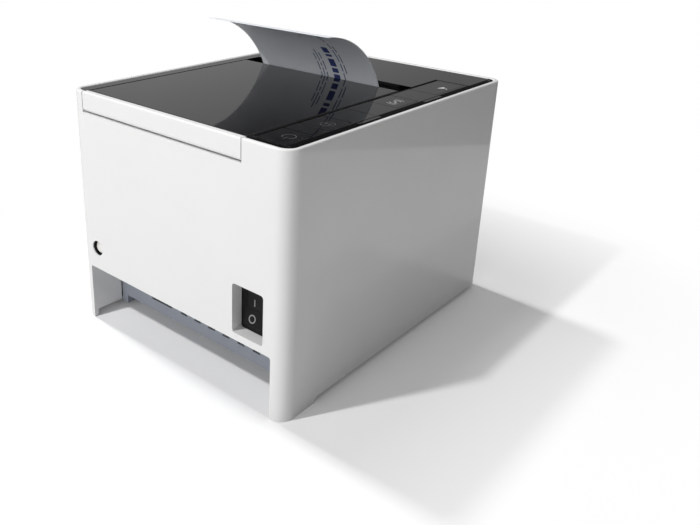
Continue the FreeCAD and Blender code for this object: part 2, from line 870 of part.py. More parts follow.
def usb_socket():
    deep = socket_rear - socket_cavity
    half = usb_width / 2 - socket_wall
    middle = board_top + usb_height / 2
    cavity = box(usb_x - half, usb_x + half, deep, socket_rear + past, board_top + socket_wall,
                 board_top + usb_height - socket_wall)
    tongue = box(usb_x - half / 2, usb_x + half / 2, deep - past, socket_rear - usb_tongue_setback,
                 middle - usb_tongue_thick / 2, middle + usb_tongue_thick / 2)
    return fuse(socket_block("usb").cut(along(cavity, usb_round, Vector(0, 1, 0))), tongue)


def power_socket():
    deep = socket_rear - socket_cavity
    middle = board_top + power_height / 2
    hollow = socket_block("power").cut(bar_y(power_x, middle, power_bore, deep, socket_rear + past))
    pin = bar_y(power_x, middle, power_pin_radius, deep - past, socket_rear - power_pin_setback)
    return fuse(hollow, pin)


# Rocker switch
def switch_body():
    bezel = pocket_block(-slide_gap, pocket_floor, pocket_floor + bezel_lip)
    bezel = along(bezel, recess_round - slide_gap, Vector(0, 1, 0))
    inside = bezel_frame + bezel_round
    hollow = pocket_block(-inside, pocket_floor - switch_body_depth + bezel_lip, half_d)
    half_x = recess_width / 2 - inside + past
    pivot = bar_x(pocket_floor, switch_height, pin_radius - run_gap, switch_x - half_x, switch_x + half_x)
    return fuse(fuse(bezel, switch_opening(0)).cut(hollow), pivot)


def rocker():
    """A paddle with two flat faces that meet at its pivot, at rest with its upper half pressed in."""
    inside = bezel_frame + bezel_round
    x0 = switch_x - recess_width / 2 + inside + slide_gap
    x1 = switch_x + recess_width / 2 - inside - slide_gap
    half_z = recess_height / 2 - inside - 2 * slide_gap
    face = pocket_floor + rocker_rise
    end = face + half_z * math.tan(math.radians(rocker_swing))
    top = switch_height + half_z
    low = switch_height - half_z
    outline = [(face, switch_height), (end, top), (end - rocker_thick, top),
               (face - rocker_thick, switch_height), (end - rocker_thick, low), (end, low)]
    paddle = along(slab_x(outline, x0, x1), rocker_round, Vector(1, 0, 0))
    paddle = paddle.cut(bar_x(pocket_floor, switch_height, pin_radius, x0 - past, x1 + past))
    paddle.rotate(Vector(0, pocket_floor, switch_height), Vector(1, 0, 0), rocker_swing)
    return paddle


# Paper and its bucket
def bucket_profile():
    """The bucket's inner and outer outline: rear wall, round floor and a front ramp beside the web."""
    down = web_points()[1]
    up = (-down[0], -down[1])
    out = (-up[1], up[0])
    floor_turn = math.atan2(out[1], out[0])
    ramp_top = case_height - ramp_drop
    rows = []
    for radius in (bucket_radius, bucket_radius + bucket_wall):
        foot = (bucket_y + radius * out[0], bucket_z + radius * out[1])
        rise = (ramp_top - foot[1]) / up[1]
        rows.append({"rim": (bucket_y + radius, bucket_rim), "rear": (bucket_y + radius, bucket_z),
                     "foot": foot, "top": (foot[0] + rise * up[0], ramp_top), "radius": radius})
    return rows, floor_turn


def bucket_path(row, floor_turn):
    turn = floor_turn - 2 * math.pi if floor_turn > 0 else floor_turn
    return [line_edge(row["rim"], row["rear"]), arc_edge((bucket_y, bucket_z), row["radius"], 0, turn),
            line_edge(row["foot"], row["top"])]


def sideways(edges, near, far):
    """A closed outline at the middle of the lid, carried from near to far along X."""
    face = Part.Face(Part.Wire(Part.__sortEdges__(edges)))
    face.translate(Vector(near, 0, 0))
    return face.extrude(Vector(far - near, 0, 0))


def paper_bucket():
    (inner, outer), floor_turn = bucket_profile()
    half = half_bucket + bucket_side
    caps = [line_edge(inner["top"], outer["top"]), line_edge(outer["rim"], inner["rim"])]
    wall_edges = bucket_path(inner, floor_turn) + bucket_path(outer, floor_turn) + caps
    shoulder = (platen_y + platen_radius + bucket_shoulder, bucket_rim)
    cheek_edges = bucket_path(outer, floor_turn)
    cheek_edges += [line_edge(outer["top"], inner["top"]), line_edge(inner["top"], shoulder),
                    line_edge(shoulder, outer["rim"])]
    solids = [sideways(wall_edges, -half, half), sideways(cheek_edges, -half, -half_bucket),
              sideways(cheek_edges, half_bucket, half)]
    hollow = bar_x(bucket_y, bucket_z, bucket_radius, lid_mid - half - past, lid_mid + half + past)
    for y in (rear_foot_y, front_foot_y):
        foot = box(lid_mid - half_bucket, lid_mid + half_bucket, y - bucket_foot_thick / 2,
                   y + bucket_foot_thick / 2, under_bay - bucket_foot_height, bucket_z)
        solids.append(foot.cut(hollow))
    return fuse(*solids)


def paper_web():
    """The paper from the roll's front side up to the print line."""
    bend, down, leave = web_points()
    turn = math.atan2(-down[1], -down[0]) - math.pi / 2
    trim = web_bend_radius * math.tan(turn / 2)
    low = (bend[0] + trim * down[0], bend[1] + trim * down[1])
    top = (print_y, blade_under - seat_gap)
    centre = (print_y + web_bend_radius, bend[1] + trim)
    edges = [line_edge(leave, low), arc_edge(centre, web_bend_radius, math.pi + turn, math.pi),
             line_edge((print_y, bend[1] + trim), top)]
    return strip_of_paper(edges, leave, (-down[0], -down[1]))


def receipt():
    """The printed slip: a short bend inside the slot, then one long curl towards the rear."""
    leaves = math.pi / 2 + math.radians(receipt_lean)
    tip = math.pi / 2 + math.radians(receipt_tip_lean)
    start = (print_y, blade_top + seat_gap)
    first = (start[0] + receipt_entry_curl, start[1])
    gap = receipt_curl - receipt_entry_curl
    second = (first[0] - gap * math.cos(leaves), first[1] - gap * math.sin(leaves))
    edges = [arc_edge(first, receipt_entry_curl, math.pi, leaves),
             arc_edge(second, receipt_curl, leaves, tip)]
    return strip_of_paper(edges, start, (0, 1))


def paper_roll():
    half = paper_width / 2
    return tube_x(bucket_y, roll_z, roll_radius, core_radius, lid_mid - half, lid_mid + half)


def roll_core():
    half = paper_width / 2
    return tube_x(bucket_y, roll_z, core_radius - press_gap, core_bore, lid_mid - half, lid_mid + half)


# Print mechanism
def mech_frame():
    rear = platen_y + arm_radius
    top = blade_under - frame_top_gap
    plates = []
    for sign in (1, -1):
        x0, x1 = side_span(sign, half_frame, frame_out)
        holes = [(pivot_y, pivot_z, pin_radius)]
        if sign > 0:
            holes += [(idler_y, idler_z, pin_radius), (pinion_y, pinion_z, motor_boss_radius)]
        else:
            holes += [(latch_y, latch_z, pin_radius)]
        cuts = [bar_x(y, z, radius + press_gap, x0 - past, x1 + past) for y, z, radius in holes]
        cuts.append(bar_x(platen_y, platen_z, bush_radius, x0 - past, x1 + past))
        cuts.append(box(x0 - past, x1 + past, platen_y - bush_radius, platen_y + bush_radius, platen_z,
                        top + past))
        plates.append(box(x0, x1, frame_front, rear, tray_top, top).cut(cuts))
    half = half_frame + frame_sheet / 2
    brace = box(lid_mid - half, lid_mid + half, spring_wall_y - frame_sheet, spring_wall_y,
                pivot_z - brace_below, cutter_z - frame_sheet - brace_gap)
    sole = box(lid_mid - half, lid_mid + half, frame_front, frame_front + sole_depth, tray_top,
               tray_top + frame_sheet)
    screw_holes = [bar_z(x, y, screw_shank + slide_gap, tray_top - past, tray_top + frame_sheet + past)
                   for x, y in mech_screw_places()]
    return fuse(plates[0], plates[1], brace, sole).cut(screw_holes)


def feed_motor():
    seat = lid_mid + half_frame
    rear = seat - motor_length
    can = bar_x(pinion_y, pinion_z, motor_radius, rear, seat)
    can = soften(can, motor_round, lambda point: abs(point.x - rear) < 1e-6)
    boss = bar_x(pinion_y, pinion_z, motor_boss_radius, seat - motor_ear_thick, seat + frame_sheet)
    reach = motor_radius + motor_ear
    ears = box(seat - motor_ear_thick, seat, pinion_y - reach, pinion_y + reach, pinion_z - motor_ear,
               pinion_z + motor_ear)
    bore = bar_x(pinion_y, pinion_z, motor_shaft_radius + run_gap, seat - motor_shaft_hold - past,
                 seat + frame_sheet + past)
    return fuse(can, boss, ears).cut(bore)


def gear_phases():
    """Tooth phases that put the platen gear, the idler and the motor pinion in mesh."""
    to_idler = math.atan2(idler_z - platen_z, idler_y - platen_y)
    to_pinion = math.atan2(pinion_z - idler_z, pinion_y - idler_y)
    idler = to_idler + math.pi - math.pi / idler_teeth
    ahead = (idler - to_pinion) % (2 * math.pi / idler_teeth)
    pinion = to_pinion + math.pi - ahead * idler_teeth / pinion_teeth - math.pi / pinion_teeth
    return to_idler, idler, pinion


def platen_gear():
    return gear_x(platen_teeth, platen_y, platen_z, gear_phases()[0], platen_shaft_radius + press_gap)


def idler_gear():
    return gear_x(idler_teeth, idler_y, idler_z, gear_phases()[1], pin_radius + run_gap)


def motor_pinion():
    wheel = gear_x(pinion_teeth, pinion_y, pinion_z, gear_phases()[2], motor_shaft_radius / 2)
    shaft = bar_x(pinion_y, pinion_z, motor_shaft_radius, lid_mid + half_frame - motor_shaft_hold,
                  lid_mid + gear_hi + shaft_end)
    return fuse(wheel, shaft)


def idler_axle():
    end = lid_mid + gear_hi + axle_end
    shaft = bar_x(idler_y, idler_z, pin_radius, lid_mid + half_frame, end)
    collar = bar_x(idler_y, idler_z, axle_collar_radius, lid_mid + frame_out, lid_mid + gear_lo - slide_gap)
    clip = bar_x(idler_y, idler_z, axle_collar_radius, lid_mid + gear_hi + slide_gap, end)
    return fuse(shaft, collar, clip)


def platen_roller():
    half = paper_width / 2 + seat_gap
    return tube_x(platen_y, platen_z, platen_radius, platen_shaft_radius + press_gap, lid_mid - half,
                  lid_mid + half)


def platen_shaft():
    return bar_x(platen_y, platen_z, platen_shaft_radius, lid_mid - arm_hi, lid_mid + arm_hi)


def platen_bushes():
    bushes = []
    for sign in (1, -1):
        x0, x1 = side_span(sign, arm_lo, arm_hi)
        rim0, rim1 = side_span(sign, arm_lo - bush_flange, arm_lo)
        bush = fuse(bar_x(platen_y, platen_z, bush_radius, x0, x1),
                    bar_x(platen_y, platen_z, bush_radius + bush_rim, rim0, rim1))
        bore = bar_x(platen_y, platen_z, platen_shaft_radius + run_gap, x0 - past, x1 + past)
        bushes.append(bush.cut(bore))
    return Part.makeCompound(bushes)


# Print head
def sink_span():
    half = half_frame - slide_gap
    return lid_mid - half, lid_mid + half


def heat_sink():
    """A grooved plate that hangs on two lugs, with a seat for each spring in its front face."""
    x0, x1 = sink_span()
    plate = box(x0, x1, sink_front, sink_rear, head_bottom, head_top)
    lugs = []
    for near, far in ((x0, x0 + sink_lug_length), (x1 - sink_lug_length, x1)):
        lugs.append(bar_x(pivot_y, pivot_z, sink_lug_radius, near, far))
        lugs.append(box(near, far, sink_front, sink_rear, pivot_z, head_bottom + past))
    cuts = [bar_x(pivot_y, pivot_z, pin_radius + run_gap, x0 - past, x1 + past)]
    for index in range(sink_groove_count):
        low = head_bottom + sink_groove_first + index * sink_groove_pitch
        cuts.append(box(x0 - past, x1 + past, sink_front - past, sink_front + sink_groove_depth, low,
                        low + sink_groove_width))
    for sign in (1, -1):
        cuts.append(bar_y(lid_mid + sign * spring_spread / 2, spring_z, spring_radius + 2 * spring_wire,
                          sink_front - past, sink_front + spring_seat_depth))
    return fuse(plate, *lugs).cut(cuts)


def print_head():
    x0, x1 = sink_span()
    plate = box(x0 + head_side_inset, x1 - head_side_inset, sink_rear, head_face,
                head_bottom + head_edge_inset, head_top - head_edge_inset)
    low = head_bottom + head_cover_low
    cover = box(x0 + head_cover_inset, x1 - head_cover_inset, sink_rear + slide_gap,
                head_face + head_cover_rise, low, low + head_cover_height)
    return fuse(plate, cover)


def head_pivot_pin():
    return bar_x(pivot_y, pivot_z, pin_radius, lid_mid - frame_out, lid_mid + frame_out)


def head_springs():
    springs = []
    for sign in (1, -1):
        spring = coil(spring_radius, spring_wire, spring_length + spring_seat_depth - 2 * slide_gap,
                      spring_turns)
        spring.rotate(Vector(0, 0, 0), Vector(1, 0, 0), -90)
        spring.translate(Vector(lid_mid + sign * spring_spread / 2, spring_wall_y + slide_gap, spring_z))
        springs.append(spring)
    return Part.makeCompound(springs)


# Cutter
def cutter_base():
    half = half_frame - slide_gap / 2
    front = blade_front + seat_gap
    seat = blade_under - blade_gap
    plate = box(lid_mid - half, lid_mid + half, front, spring_wall_y, cutter_z - frame_sheet, cutter_z)
    rails = []
    for sign in (1, -1):
        middle = lid_mid + sign * (half_frame - cutter_rail_inset)
        rails.append(box(middle - cutter_rail_width / 2, middle + cutter_rail_width / 2, front,
                         spring_wall_y, cutter_z, seat))
    low = cutter_z - frame_sheet - past
    cuts = [bar_z(x, y, stud_radius / 2 + press_gap, low, seat + past) for x, y in stud_places()]
    cuts.append(bar_z(cutter_x, cutter_y, cutter_boss_radius, low, cutter_z + past))
    return fuse(plate, *rails).cut(cuts)


def blade_studs():
    """Stepped studs that guide the blade's slots and hold it down."""
    seat = blade_under - blade_gap
    shoulder = blade_top + blade_gap
    studs = []
    for x, y in stud_places():
        studs.append(fuse(bar_z(x, y, stud_radius / 2, cutter_z - frame_sheet, seat + root),
                          bar_z(x, y, stud_radius, seat, shoulder),
                          bar_z(x, y, stud_head, shoulder, shoulder + stud_head_thick)))
    return Part.makeCompound(studs)


def cutter_motor():
    seat = cutter_z - frame_sheet
    can = bar_z(cutter_x, cutter_y, cutter_motor_radius, seat - cutter_motor_length, seat)
    boss = bar_z(cutter_x, cutter_y, cutter_boss_radius - press_gap, seat - past, cutter_z)
    bore = bar_z(cutter_x, cutter_y, motor_shaft_radius + run_gap, seat - motor_shaft_hold - past,
                 cutter_z + past)
    return fuse(can, boss).cut(bore)


def cutter_pinion():
    """The pinion stands in the blade's window, its first tooth towards the rack."""
    outline = [(cutter_x + u, cutter_y + v) for u, v in gear_outline(cutter_teeth, 0.0)]
    wheel = slab_z(outline, blade_under - blade_gap, blade_top + blade_gap)
    shaft = bar_z(cutter_x, cutter_y, motor_shaft_radius, cutter_z - frame_sheet - motor_shaft_hold,
                  blade_top + shaft_end)
    return fuse(wheel, shaft)


def rack_edge(y0, y1):
    """Points of the rack's toothed edge, from y0 to y1, with a space opposite the pinion's first tooth."""
    pitch = math.pi * gear_module
    line = cutter_x + cutter_pitch_radius
    slope = math.tan(math.radians(pressure_angle))
    tip = tooth_tip * gear_module
    foot = tooth_root * gear_module
    half = pitch / 4 - gear_backlash / 4
    first = math.ceil((y0 - cutter_y) / pitch - 0.5)
    last = math.floor((y1 - cutter_y) / pitch - 0.5)
    points = []
    for step in range(first, last + 1):
        middle = cutter_y + (step + 0.5) * pitch
        points += [(line + foot, middle - half - foot * slope), (line - tip, middle - half + tip * slope),
                   (line - tip, middle + half - tip * slope), (line + foot, middle + half + foot * slope)]
    return points


def cutter_blade():
    """A flat blade with a shallow vee edge, a window with a rack, and a slot for each stud."""
    half = half_frame - 2 * seat_gap
    x0 = lid_mid - half
    x1 = lid_mid + half
    outline = [(x0, blade_front), (x1, blade_front), (x1, blade_edge), (lid_mid, blade_edge - blade_vee),
               (x0, blade_edge)]
    reach = cutter_pitch_radius + window_room
    y0 = cutter_y - reach - blade_travel
    y1 = cutter_y + reach
    line = cutter_x + cutter_pitch_radius + tooth_root * gear_module
    window = [(cutter_x - reach, y0), (line, y0)] + rack_edge(y0 + rack_margin, y1 - rack_margin)
    window += [(line, y1), (cutter_x - reach, y1)]
    low = blade_under - past
    high = blade_top + past
    cuts = [slab_z(window, low, high)]
    wide = stud_radius + slide_gap
    for x, y in stud_places():
        cuts.append(fuse(bar_z(x, y, wide, low, high), bar_z(x, y - blade_travel, wide, low, high),
                         box(x - wide, x + wide, y - blade_travel, y, low, high)))
    return slab_z(outline, blade_under, blade_top).cut(cuts)


def fixed_blade():
    half = frame_out + slide_gap
    low = liner_under - blade_thick
    edge = print_y + fixed_edge
    rear = print_y + fixed_length
    outline = [(edge, low), (rear, low), (rear, liner_under), (edge + blade_thick, liner_under)]
    return slab_x(outline, lid_mid - half, lid_mid + half)


# Lid
def lid_cover():
    plate = box(lid_lo, lid_hi, lid_front, flap_front - slide_gap, panel_under, panel_top)
    return soften(plate, edge_round, at_height(panel_top))


def hinge_pins():
    ends = ((lid_hi - hinge_pin_reach, lid_hi + seam + hinge_pin_hold),
            (lid_lo - seam - hinge_pin_hold, lid_lo + hinge_pin_reach))
    return Part.makeCompound([bar_x(hinge_y, hinge_z, hinge_pin_radius, x0, x1) for x0, x1 in ends])


def lid_flap():
    """The white flap at the rear: a face, a round foot on the hinge pins and a flange under the lid."""
    face = box(lid_lo, lid_hi, flap_front, half_d, hinge_z, case_height)
    face = soften(face, rim_round, at_height(case_height))
    curl = bar_x(hinge_y, hinge_z, flap_thick / 2, lid_lo, lid_hi)
    low = liner_under - flange_thick
    flange = box(lid_lo + flange_inset, lid_hi - liner_ledge_inset, flap_front - flap_flange,
                 flap_front + flap_thick / 2, low, liner_under)
    bore = hinge_pin_radius + run_gap
    deep = hinge_pin_reach + seat_gap
    cuts = [bar_x(hinge_y, hinge_z, bore, lid_hi - deep, lid_hi + past),
            bar_x(hinge_y, hinge_z, bore, lid_lo - past, lid_lo + deep)]
    for x, y in flange_screw_places():
        cuts.append(bar_z(x, y, screw_shank + press_gap, low - past, liner_under + past))
    return fuse(face, curl, flange).cut(cuts)


def lid_frame():
    """The plate under the lid cover, with ribs, two arms for the platen and a catch for the latch."""
    front = lid_front + liner_setback
    shoulder = platen_y + arm_radius + collar_reach
    rib_low = liner_under - rib_depth
    rib_top = liner_under + root
    rib_rear = flap_front - flap_flange - rib_gap
    half = half_bucket - rib_inset
    solids = [box(lid_mid - arm_hi, lid_mid + arm_hi, front, shoulder, liner_under, panel_under)]
    for offset in (-half, 0, half):
        x = lid_mid + offset
        solids.append(box(x - rib_thick / 2, x + rib_thick / 2, shoulder - rib_thick, rib_rear, rib_low,
                          rib_top))
    for y in (shoulder, (shoulder + rib_rear) / 2, rib_rear):
        solids.append(box(lid_mid - half, lid_mid + half, y - rib_thick, y, rib_low, rib_top))
    cuts = []
    for sign in (1, -1):
        x0, x1 = side_span(sign, arm_lo, arm_hi)
        solids.append(box(x0, x1, platen_y - arm_radius, platen_y + arm_radius, platen_z, rib_top))
        solids.append(bar_x(platen_y, platen_z, arm_radius, x0, x1))
        cuts.append(bar_x(platen_y, platen_z, bush_radius + press_gap, x0 - past, x1 + past))
    x0, x1 = side_span(-1, arm_lo, arm_hi)
    solids.append(box(x0, x1, catch_front, platen_y, catch_top - catch_height, catch_top))
    for x, y in flange_screw_places():
        cuts.append(bar_z(x, y, screw_shank + press_gap, liner_under - past, liner_under + liner_thick))
    plate = box(lid_lo + liner_inset, lid_hi - liner_ledge_inset, front, flap_front - slide_gap, liner_under,
                panel_under)
    return fuse(plate, *solids).cut(cuts)


# Top bezel
def bezel_chute():
    """The outline of the chute that leads the paper up through the slot."""
    front = slot_front - chute_wall
    end = blade_edge + 2 * seam
    top = panel_under + root
    low = blade_top + 2 * seam
    return [(front, top), (slot_front, top), (slot_front, low + chute_floor), (end, low + chute_nose),
            (end, low), (front, low)]


def top_bezel():
    x1 = in_x - panel_fit
    y1 = in_y - panel_fit
    plate = upright_block(-x1, x1, -y1, y1, panel_under, panel_top, corner_radius - wall - panel_fit)
    plate = soften(plate, edge_round, at_height(panel_top))
    plate = plate.cut([box(lid_lo - seam, lid_hi + seam, slot_front, half_d, panel_under - past,
                           panel_top + past),
                       box(strip_lo - seam, strip_hi + seam, strip_front - seam, strip_rear + seam,
                           panel_under - past, panel_top + past)])
    low = panel_under - bezel_skirt_depth
    top = panel_under + root
    end = half_d - bezel_skirt_end
    side = half_w - bezel_skirt_side
    shelf = panel_under - slide_gap
    y0, y2 = lid_ledge_span()
    edge = lid_hi + seam
    solids = [box(x1 - bezel_skirt, x1, -end, end, low, top),
              box(-x1, -x1 + bezel_skirt, -end, end, low, top),
              box(-side, side, -y1, -y1 + bezel_skirt, low, top),
              box(edge, edge + bezel_skirt, y0, y2, shelf - bezel_skirt, top),
              box(lid_hi - ledge_reach, edge + bezel_skirt, y0, y2, shelf - bezel_skirt, shelf),
              slab_x(bezel_chute(), lid_mid - arm_lo + seam, lid_hi - lid_margin)]
    return fuse(plate, *solids)


# Control strip and keys
def control_strip():
    plate = box(strip_lo, strip_hi, strip_front, strip_rear, panel_top - strip_thick, panel_top)
    plate = soften(plate, key_round, at_height(panel_top))
    low = panel_top - strip_depth
    high = panel_top - strip_thick
    x0 = strip_lo + strip_wall
    x1 = strip_hi - strip_wall
    hook = panel_under - slide_gap
    walls = [box(strip_lo, x0, strip_front, strip_rear, low, high),
             box(x1, strip_hi, strip_front, strip_rear, low, high),
             box(strip_lo - seam - strip_hook, strip_lo + root, strip_front + strip_hook_inset,
                 strip_rear - strip_hook_inset, hook - strip_hook_thick, hook),
             box(x0 - root, x1 + root, strip_front, strip_front + strip_wall + spring_seat_width, low,
                 spring_seat_top)]
    cuts = [box(x0, x1, y0, y1, high - past, panel_top + past) for y0, y1 in key_spans().values()]
    line = strip_rear - strip_line
    cuts.append(box(x0, x1, line - score_width / 2, line + score_width / 2, panel_top - score_width,
                    panel_top + past))
    return fuse(plate, *walls).cut(cuts)


def key_cap(name, stop):
    """A key flush with the strip, with flanges under it that stop it at both ends."""
    y0, y1 = key_spans()[name]
    x0 = strip_lo + strip_wall + slide_gap
    x1 = strip_hi - strip_wall - slide_gap
    cap = box(x0, x1, y0 + slide_gap, y1 - slide_gap, key_under, panel_top)
    cap = soften(cap, key_round, at_height(panel_top))
    return fuse(cap, box(x0, x1, y0 - stop, y1 + stop, key_under, key_shelf))


def small_key(name):
    y = sum(key_spans()[name]) / 2
    stem = bar_z(strip_mid, y, key_stem_radius, tact_top + key_travel + slide_gap, key_under + root)
    return fuse(key_cap(name, key_stop), stem)


def release_key():
    stem = box(latch_arm_lo, latch_arm_hi, pad_y - release_stem_thick, pad_y, pad_top + slide_gap,
               key_under + root)
    return fuse(key_cap("release", release_stop), stem)


def panel_board():
    return box(strip_lo + slide_gap, strip_hi - slide_gap, key_spans()["feed"][0] - panel_board_lead,
               strip_rear - panel_board_tail, panel_board_under, panel_board_top)


def tact_switches():
    half = tact_width / 2
    solids = []
    for name in ("feed", "pause", "power"):
        y = sum(key_spans()[name]) / 2
        body = box(strip_mid - half, strip_mid + half, y - half, y + half, panel_board_top,
                   tact_top - tact_plunger_rise)
        solids.append(fuse(body, bar_z(strip_mid, y, tact_plunger_radius, panel_board_top + past, tact_top)))
    return Part.makeCompound(solids)


def release_spring():
    """Stands on the strip's bridge and lifts the release key."""
    length = key_under - spring_seat_top - 2 * slide_gap
    spring = coil(spring_radius, spring_wire, length, release_spring_turns)
    middle = strip_front + strip_wall + spring_seat_width / 2
    spring.translate(Vector(strip_mid, middle, spring_seat_top + slide_gap))
    return spring


# Latch
def latch_lever():
    """A rocking tube with an arm under the release key, a hook over the lid's catch and a counterweight."""
    hook_lo, hook_hi = side_span(-1, arm_lo, arm_hi)
    tube = bar_x(latch_y, latch_z, latch_tube, latch_arm_lo, hook_hi)
    pad_front = pad_y - latch_pad_width / 2
    arm = [(latch_y, latch_z - latch_tube), (latch_y + latch_tube / 2, latch_z + latch_tube / 2),
           (pad_y + latch_pad_width / 2, pad_top), (pad_front, pad_top),
           (pad_front, pad_top - latch_pad_thick)]
    shank = catch_front - hook_shank_gap
    nose = catch_front + hook_nose
    roof = catch_top + seat_gap
    hook = [(latch_y - hook_foot / 2, latch_z), (latch_y + hook_foot / 2, latch_z), (shank, roof),
            (nose, roof), (nose, roof + hook_lip), (shank, roof + hook_height),
            (shank - hook_width, roof + hook_height)]
    tail = box(latch_arm_lo, latch_arm_hi, latch_y, latch_y + latch_tail_reach,
               latch_z - latch_tail_height / 2, latch_z + latch_tail_height / 2)
    lever = fuse(tube, tail, slab_x(arm, latch_arm_lo, latch_arm_hi), slab_x(hook, hook_lo, hook_hi))
    return lever.cut(bar_x(latch_y, latch_z, pin_radius + run_gap, latch_arm_lo - past, hook_hi + past))


def latch_pin():
    return bar_x(latch_y, latch_z, pin_radius, latch_arm_lo - latch_pin_end, lid_mid - half_frame)


pieces = {
    "case_shell": case_shell, "base_tray": base_tray, "rubber_feet": rubber_feet,
    "case_screws": case_screws, "mech_screws": mech_screws, "board_screws": board_screws,
    "lid_screws": lid_screws, "screw_cap": screw_cap, "cap_sleeve": cap_sleeve, "main_board": main_board,
    "network_socket": lambda: modular_socket("network"), "drawer_socket": lambda: modular_socket("drawer"),
    "usb_socket": usb_socket, "power_socket": power_socket, "switch_body": switch_body, "rocker": rocker,
    "paper_bucket": paper_bucket, "paper_web": paper_web, "receipt": receipt, "paper_roll": paper_roll,
    "roll_core": roll_core, "mech_frame": mech_frame, "feed_motor": feed_motor,
    "motor_pinion": motor_pinion, "idler_gear": idler_gear, "idler_axle": idler_axle,
    "platen_roller": platen_roller, "platen_shaft": platen_shaft, "platen_gear": platen_gear,
    "platen_bushes": platen_bushes, "heat_sink": heat_sink, "print_head": print_head,
    "head_pivot_pin": head_pivot_pin, "head_springs": head_springs, "cutter_base": cutter_base,
    "blade_studs": blade_studs, "cutter_motor": cutter_motor, "cutter_pinion": cutter_pinion,
    "cutter_blade": cutter_blade, "fixed_blade": fixed_blade, "lid_cover": lid_cover,
    "hinge_pins": hinge_pins, "lid_flap": lid_flap, "lid_frame": lid_frame, "top_bezel": top_bezel,
    "control_strip": control_strip, "feed_key": lambda: small_key("feed"),
    "pause_key": lambda: small_key("pause"), "power_key": lambda: small_key("power"),
    "release_key": release_key, "panel_board": panel_board, "tact_switches": tact_switches,
    "release_spring": release_spring, "latch_lever": latch_lever, "latch_pin": latch_pin,
}

os.makedirs("parts", exist_ok=True)
for name, make in pieces.items():
    shape = make()
    shape.exportStep("parts/" + name + ".step")
    state = "ok" if shape.isValid() and shape.Volume > 0 else "BAD"
    print(name, state, len(shape.Solids), "solids", round(shape.Volume, 1))
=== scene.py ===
import bmesh
import bpy
import json
import math
import numpy as np
from mathutils import Matrix, Vector


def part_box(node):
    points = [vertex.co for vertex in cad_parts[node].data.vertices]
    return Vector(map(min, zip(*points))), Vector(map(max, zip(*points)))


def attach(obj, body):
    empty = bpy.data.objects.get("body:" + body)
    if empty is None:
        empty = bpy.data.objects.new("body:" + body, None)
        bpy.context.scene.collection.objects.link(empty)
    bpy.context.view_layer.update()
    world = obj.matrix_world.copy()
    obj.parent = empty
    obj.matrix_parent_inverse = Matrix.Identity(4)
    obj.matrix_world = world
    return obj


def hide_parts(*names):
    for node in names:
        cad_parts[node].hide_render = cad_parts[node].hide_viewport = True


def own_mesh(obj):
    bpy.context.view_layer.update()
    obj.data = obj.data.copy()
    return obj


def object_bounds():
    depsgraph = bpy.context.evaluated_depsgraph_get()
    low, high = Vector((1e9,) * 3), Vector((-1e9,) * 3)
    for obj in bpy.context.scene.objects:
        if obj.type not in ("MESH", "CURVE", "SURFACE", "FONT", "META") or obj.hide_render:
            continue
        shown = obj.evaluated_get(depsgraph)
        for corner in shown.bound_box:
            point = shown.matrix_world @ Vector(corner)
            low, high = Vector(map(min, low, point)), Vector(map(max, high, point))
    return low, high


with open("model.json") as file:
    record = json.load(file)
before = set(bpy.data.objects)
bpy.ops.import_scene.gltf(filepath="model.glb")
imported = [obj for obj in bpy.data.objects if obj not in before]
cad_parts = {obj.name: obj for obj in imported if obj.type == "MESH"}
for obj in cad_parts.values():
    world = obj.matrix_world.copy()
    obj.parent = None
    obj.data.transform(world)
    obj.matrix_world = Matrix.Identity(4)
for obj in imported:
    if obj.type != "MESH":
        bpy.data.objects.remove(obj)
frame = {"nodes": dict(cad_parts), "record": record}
cad_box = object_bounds()
nodes = frame["nodes"]
scene = bpy.context.scene
scene.view_settings.view_transform = "Standard"
MM = 0.001


def linear(code):
    """sRGB hex to linear RGBA: each channel is c/12.92 when dark, else ((c + 0.055)/1.055) to the power
    2.4."""
    srgb = np.array([int(code[i:i + 2], 16) for i in (1, 3, 5)]) / 255
    bright = ((srgb + 0.055) / 1.055) ** 2.4
    return tuple(np.where(srgb <= 0.04045, srgb / 12.92, bright)) + (1.0,)


def grey(level):
    return (level, level, level, 1.0)


def add(tree, kind, inputs=None, **settings):
    """A new shader node: settings are its own choices, and inputs are values, sockets, or nodes whose first
    output in use is taken."""
    made = tree.nodes.new("ShaderNode" + kind)
    for key, value in settings.items():
        setattr(made, key, value)
    for key, value in (inputs or {}).items():
        if isinstance(value, bpy.types.Node):
            value = next(out for out in value.outputs if out.enabled)
        if isinstance(value, bpy.types.NodeSocket):
            tree.links.new(value, made.inputs[key])
        else:
            made.inputs[key].default_value = value
    return made


def blank(name):
    """A material with an empty node tree, and the place of each point in the object's own frame."""
    material = bpy.data.materials.new(name)
    material.use_nodes = True
    tree = material.node_tree
    tree.nodes.clear()
    return material, tree, add(tree, "TexCoord").outputs["Object"]


def surfaced(material, tree, tone, polish, bump, **more):
    """Put a principled surface with a tone, a roughness and a bump on the material."""
    inputs = {"Base Color": tone, "Roughness": polish, "Normal": bump}
    inputs.update(more)
    add(tree, "OutputMaterial", {"Surface": add(tree, "BsdfPrincipled", inputs)})
    return material


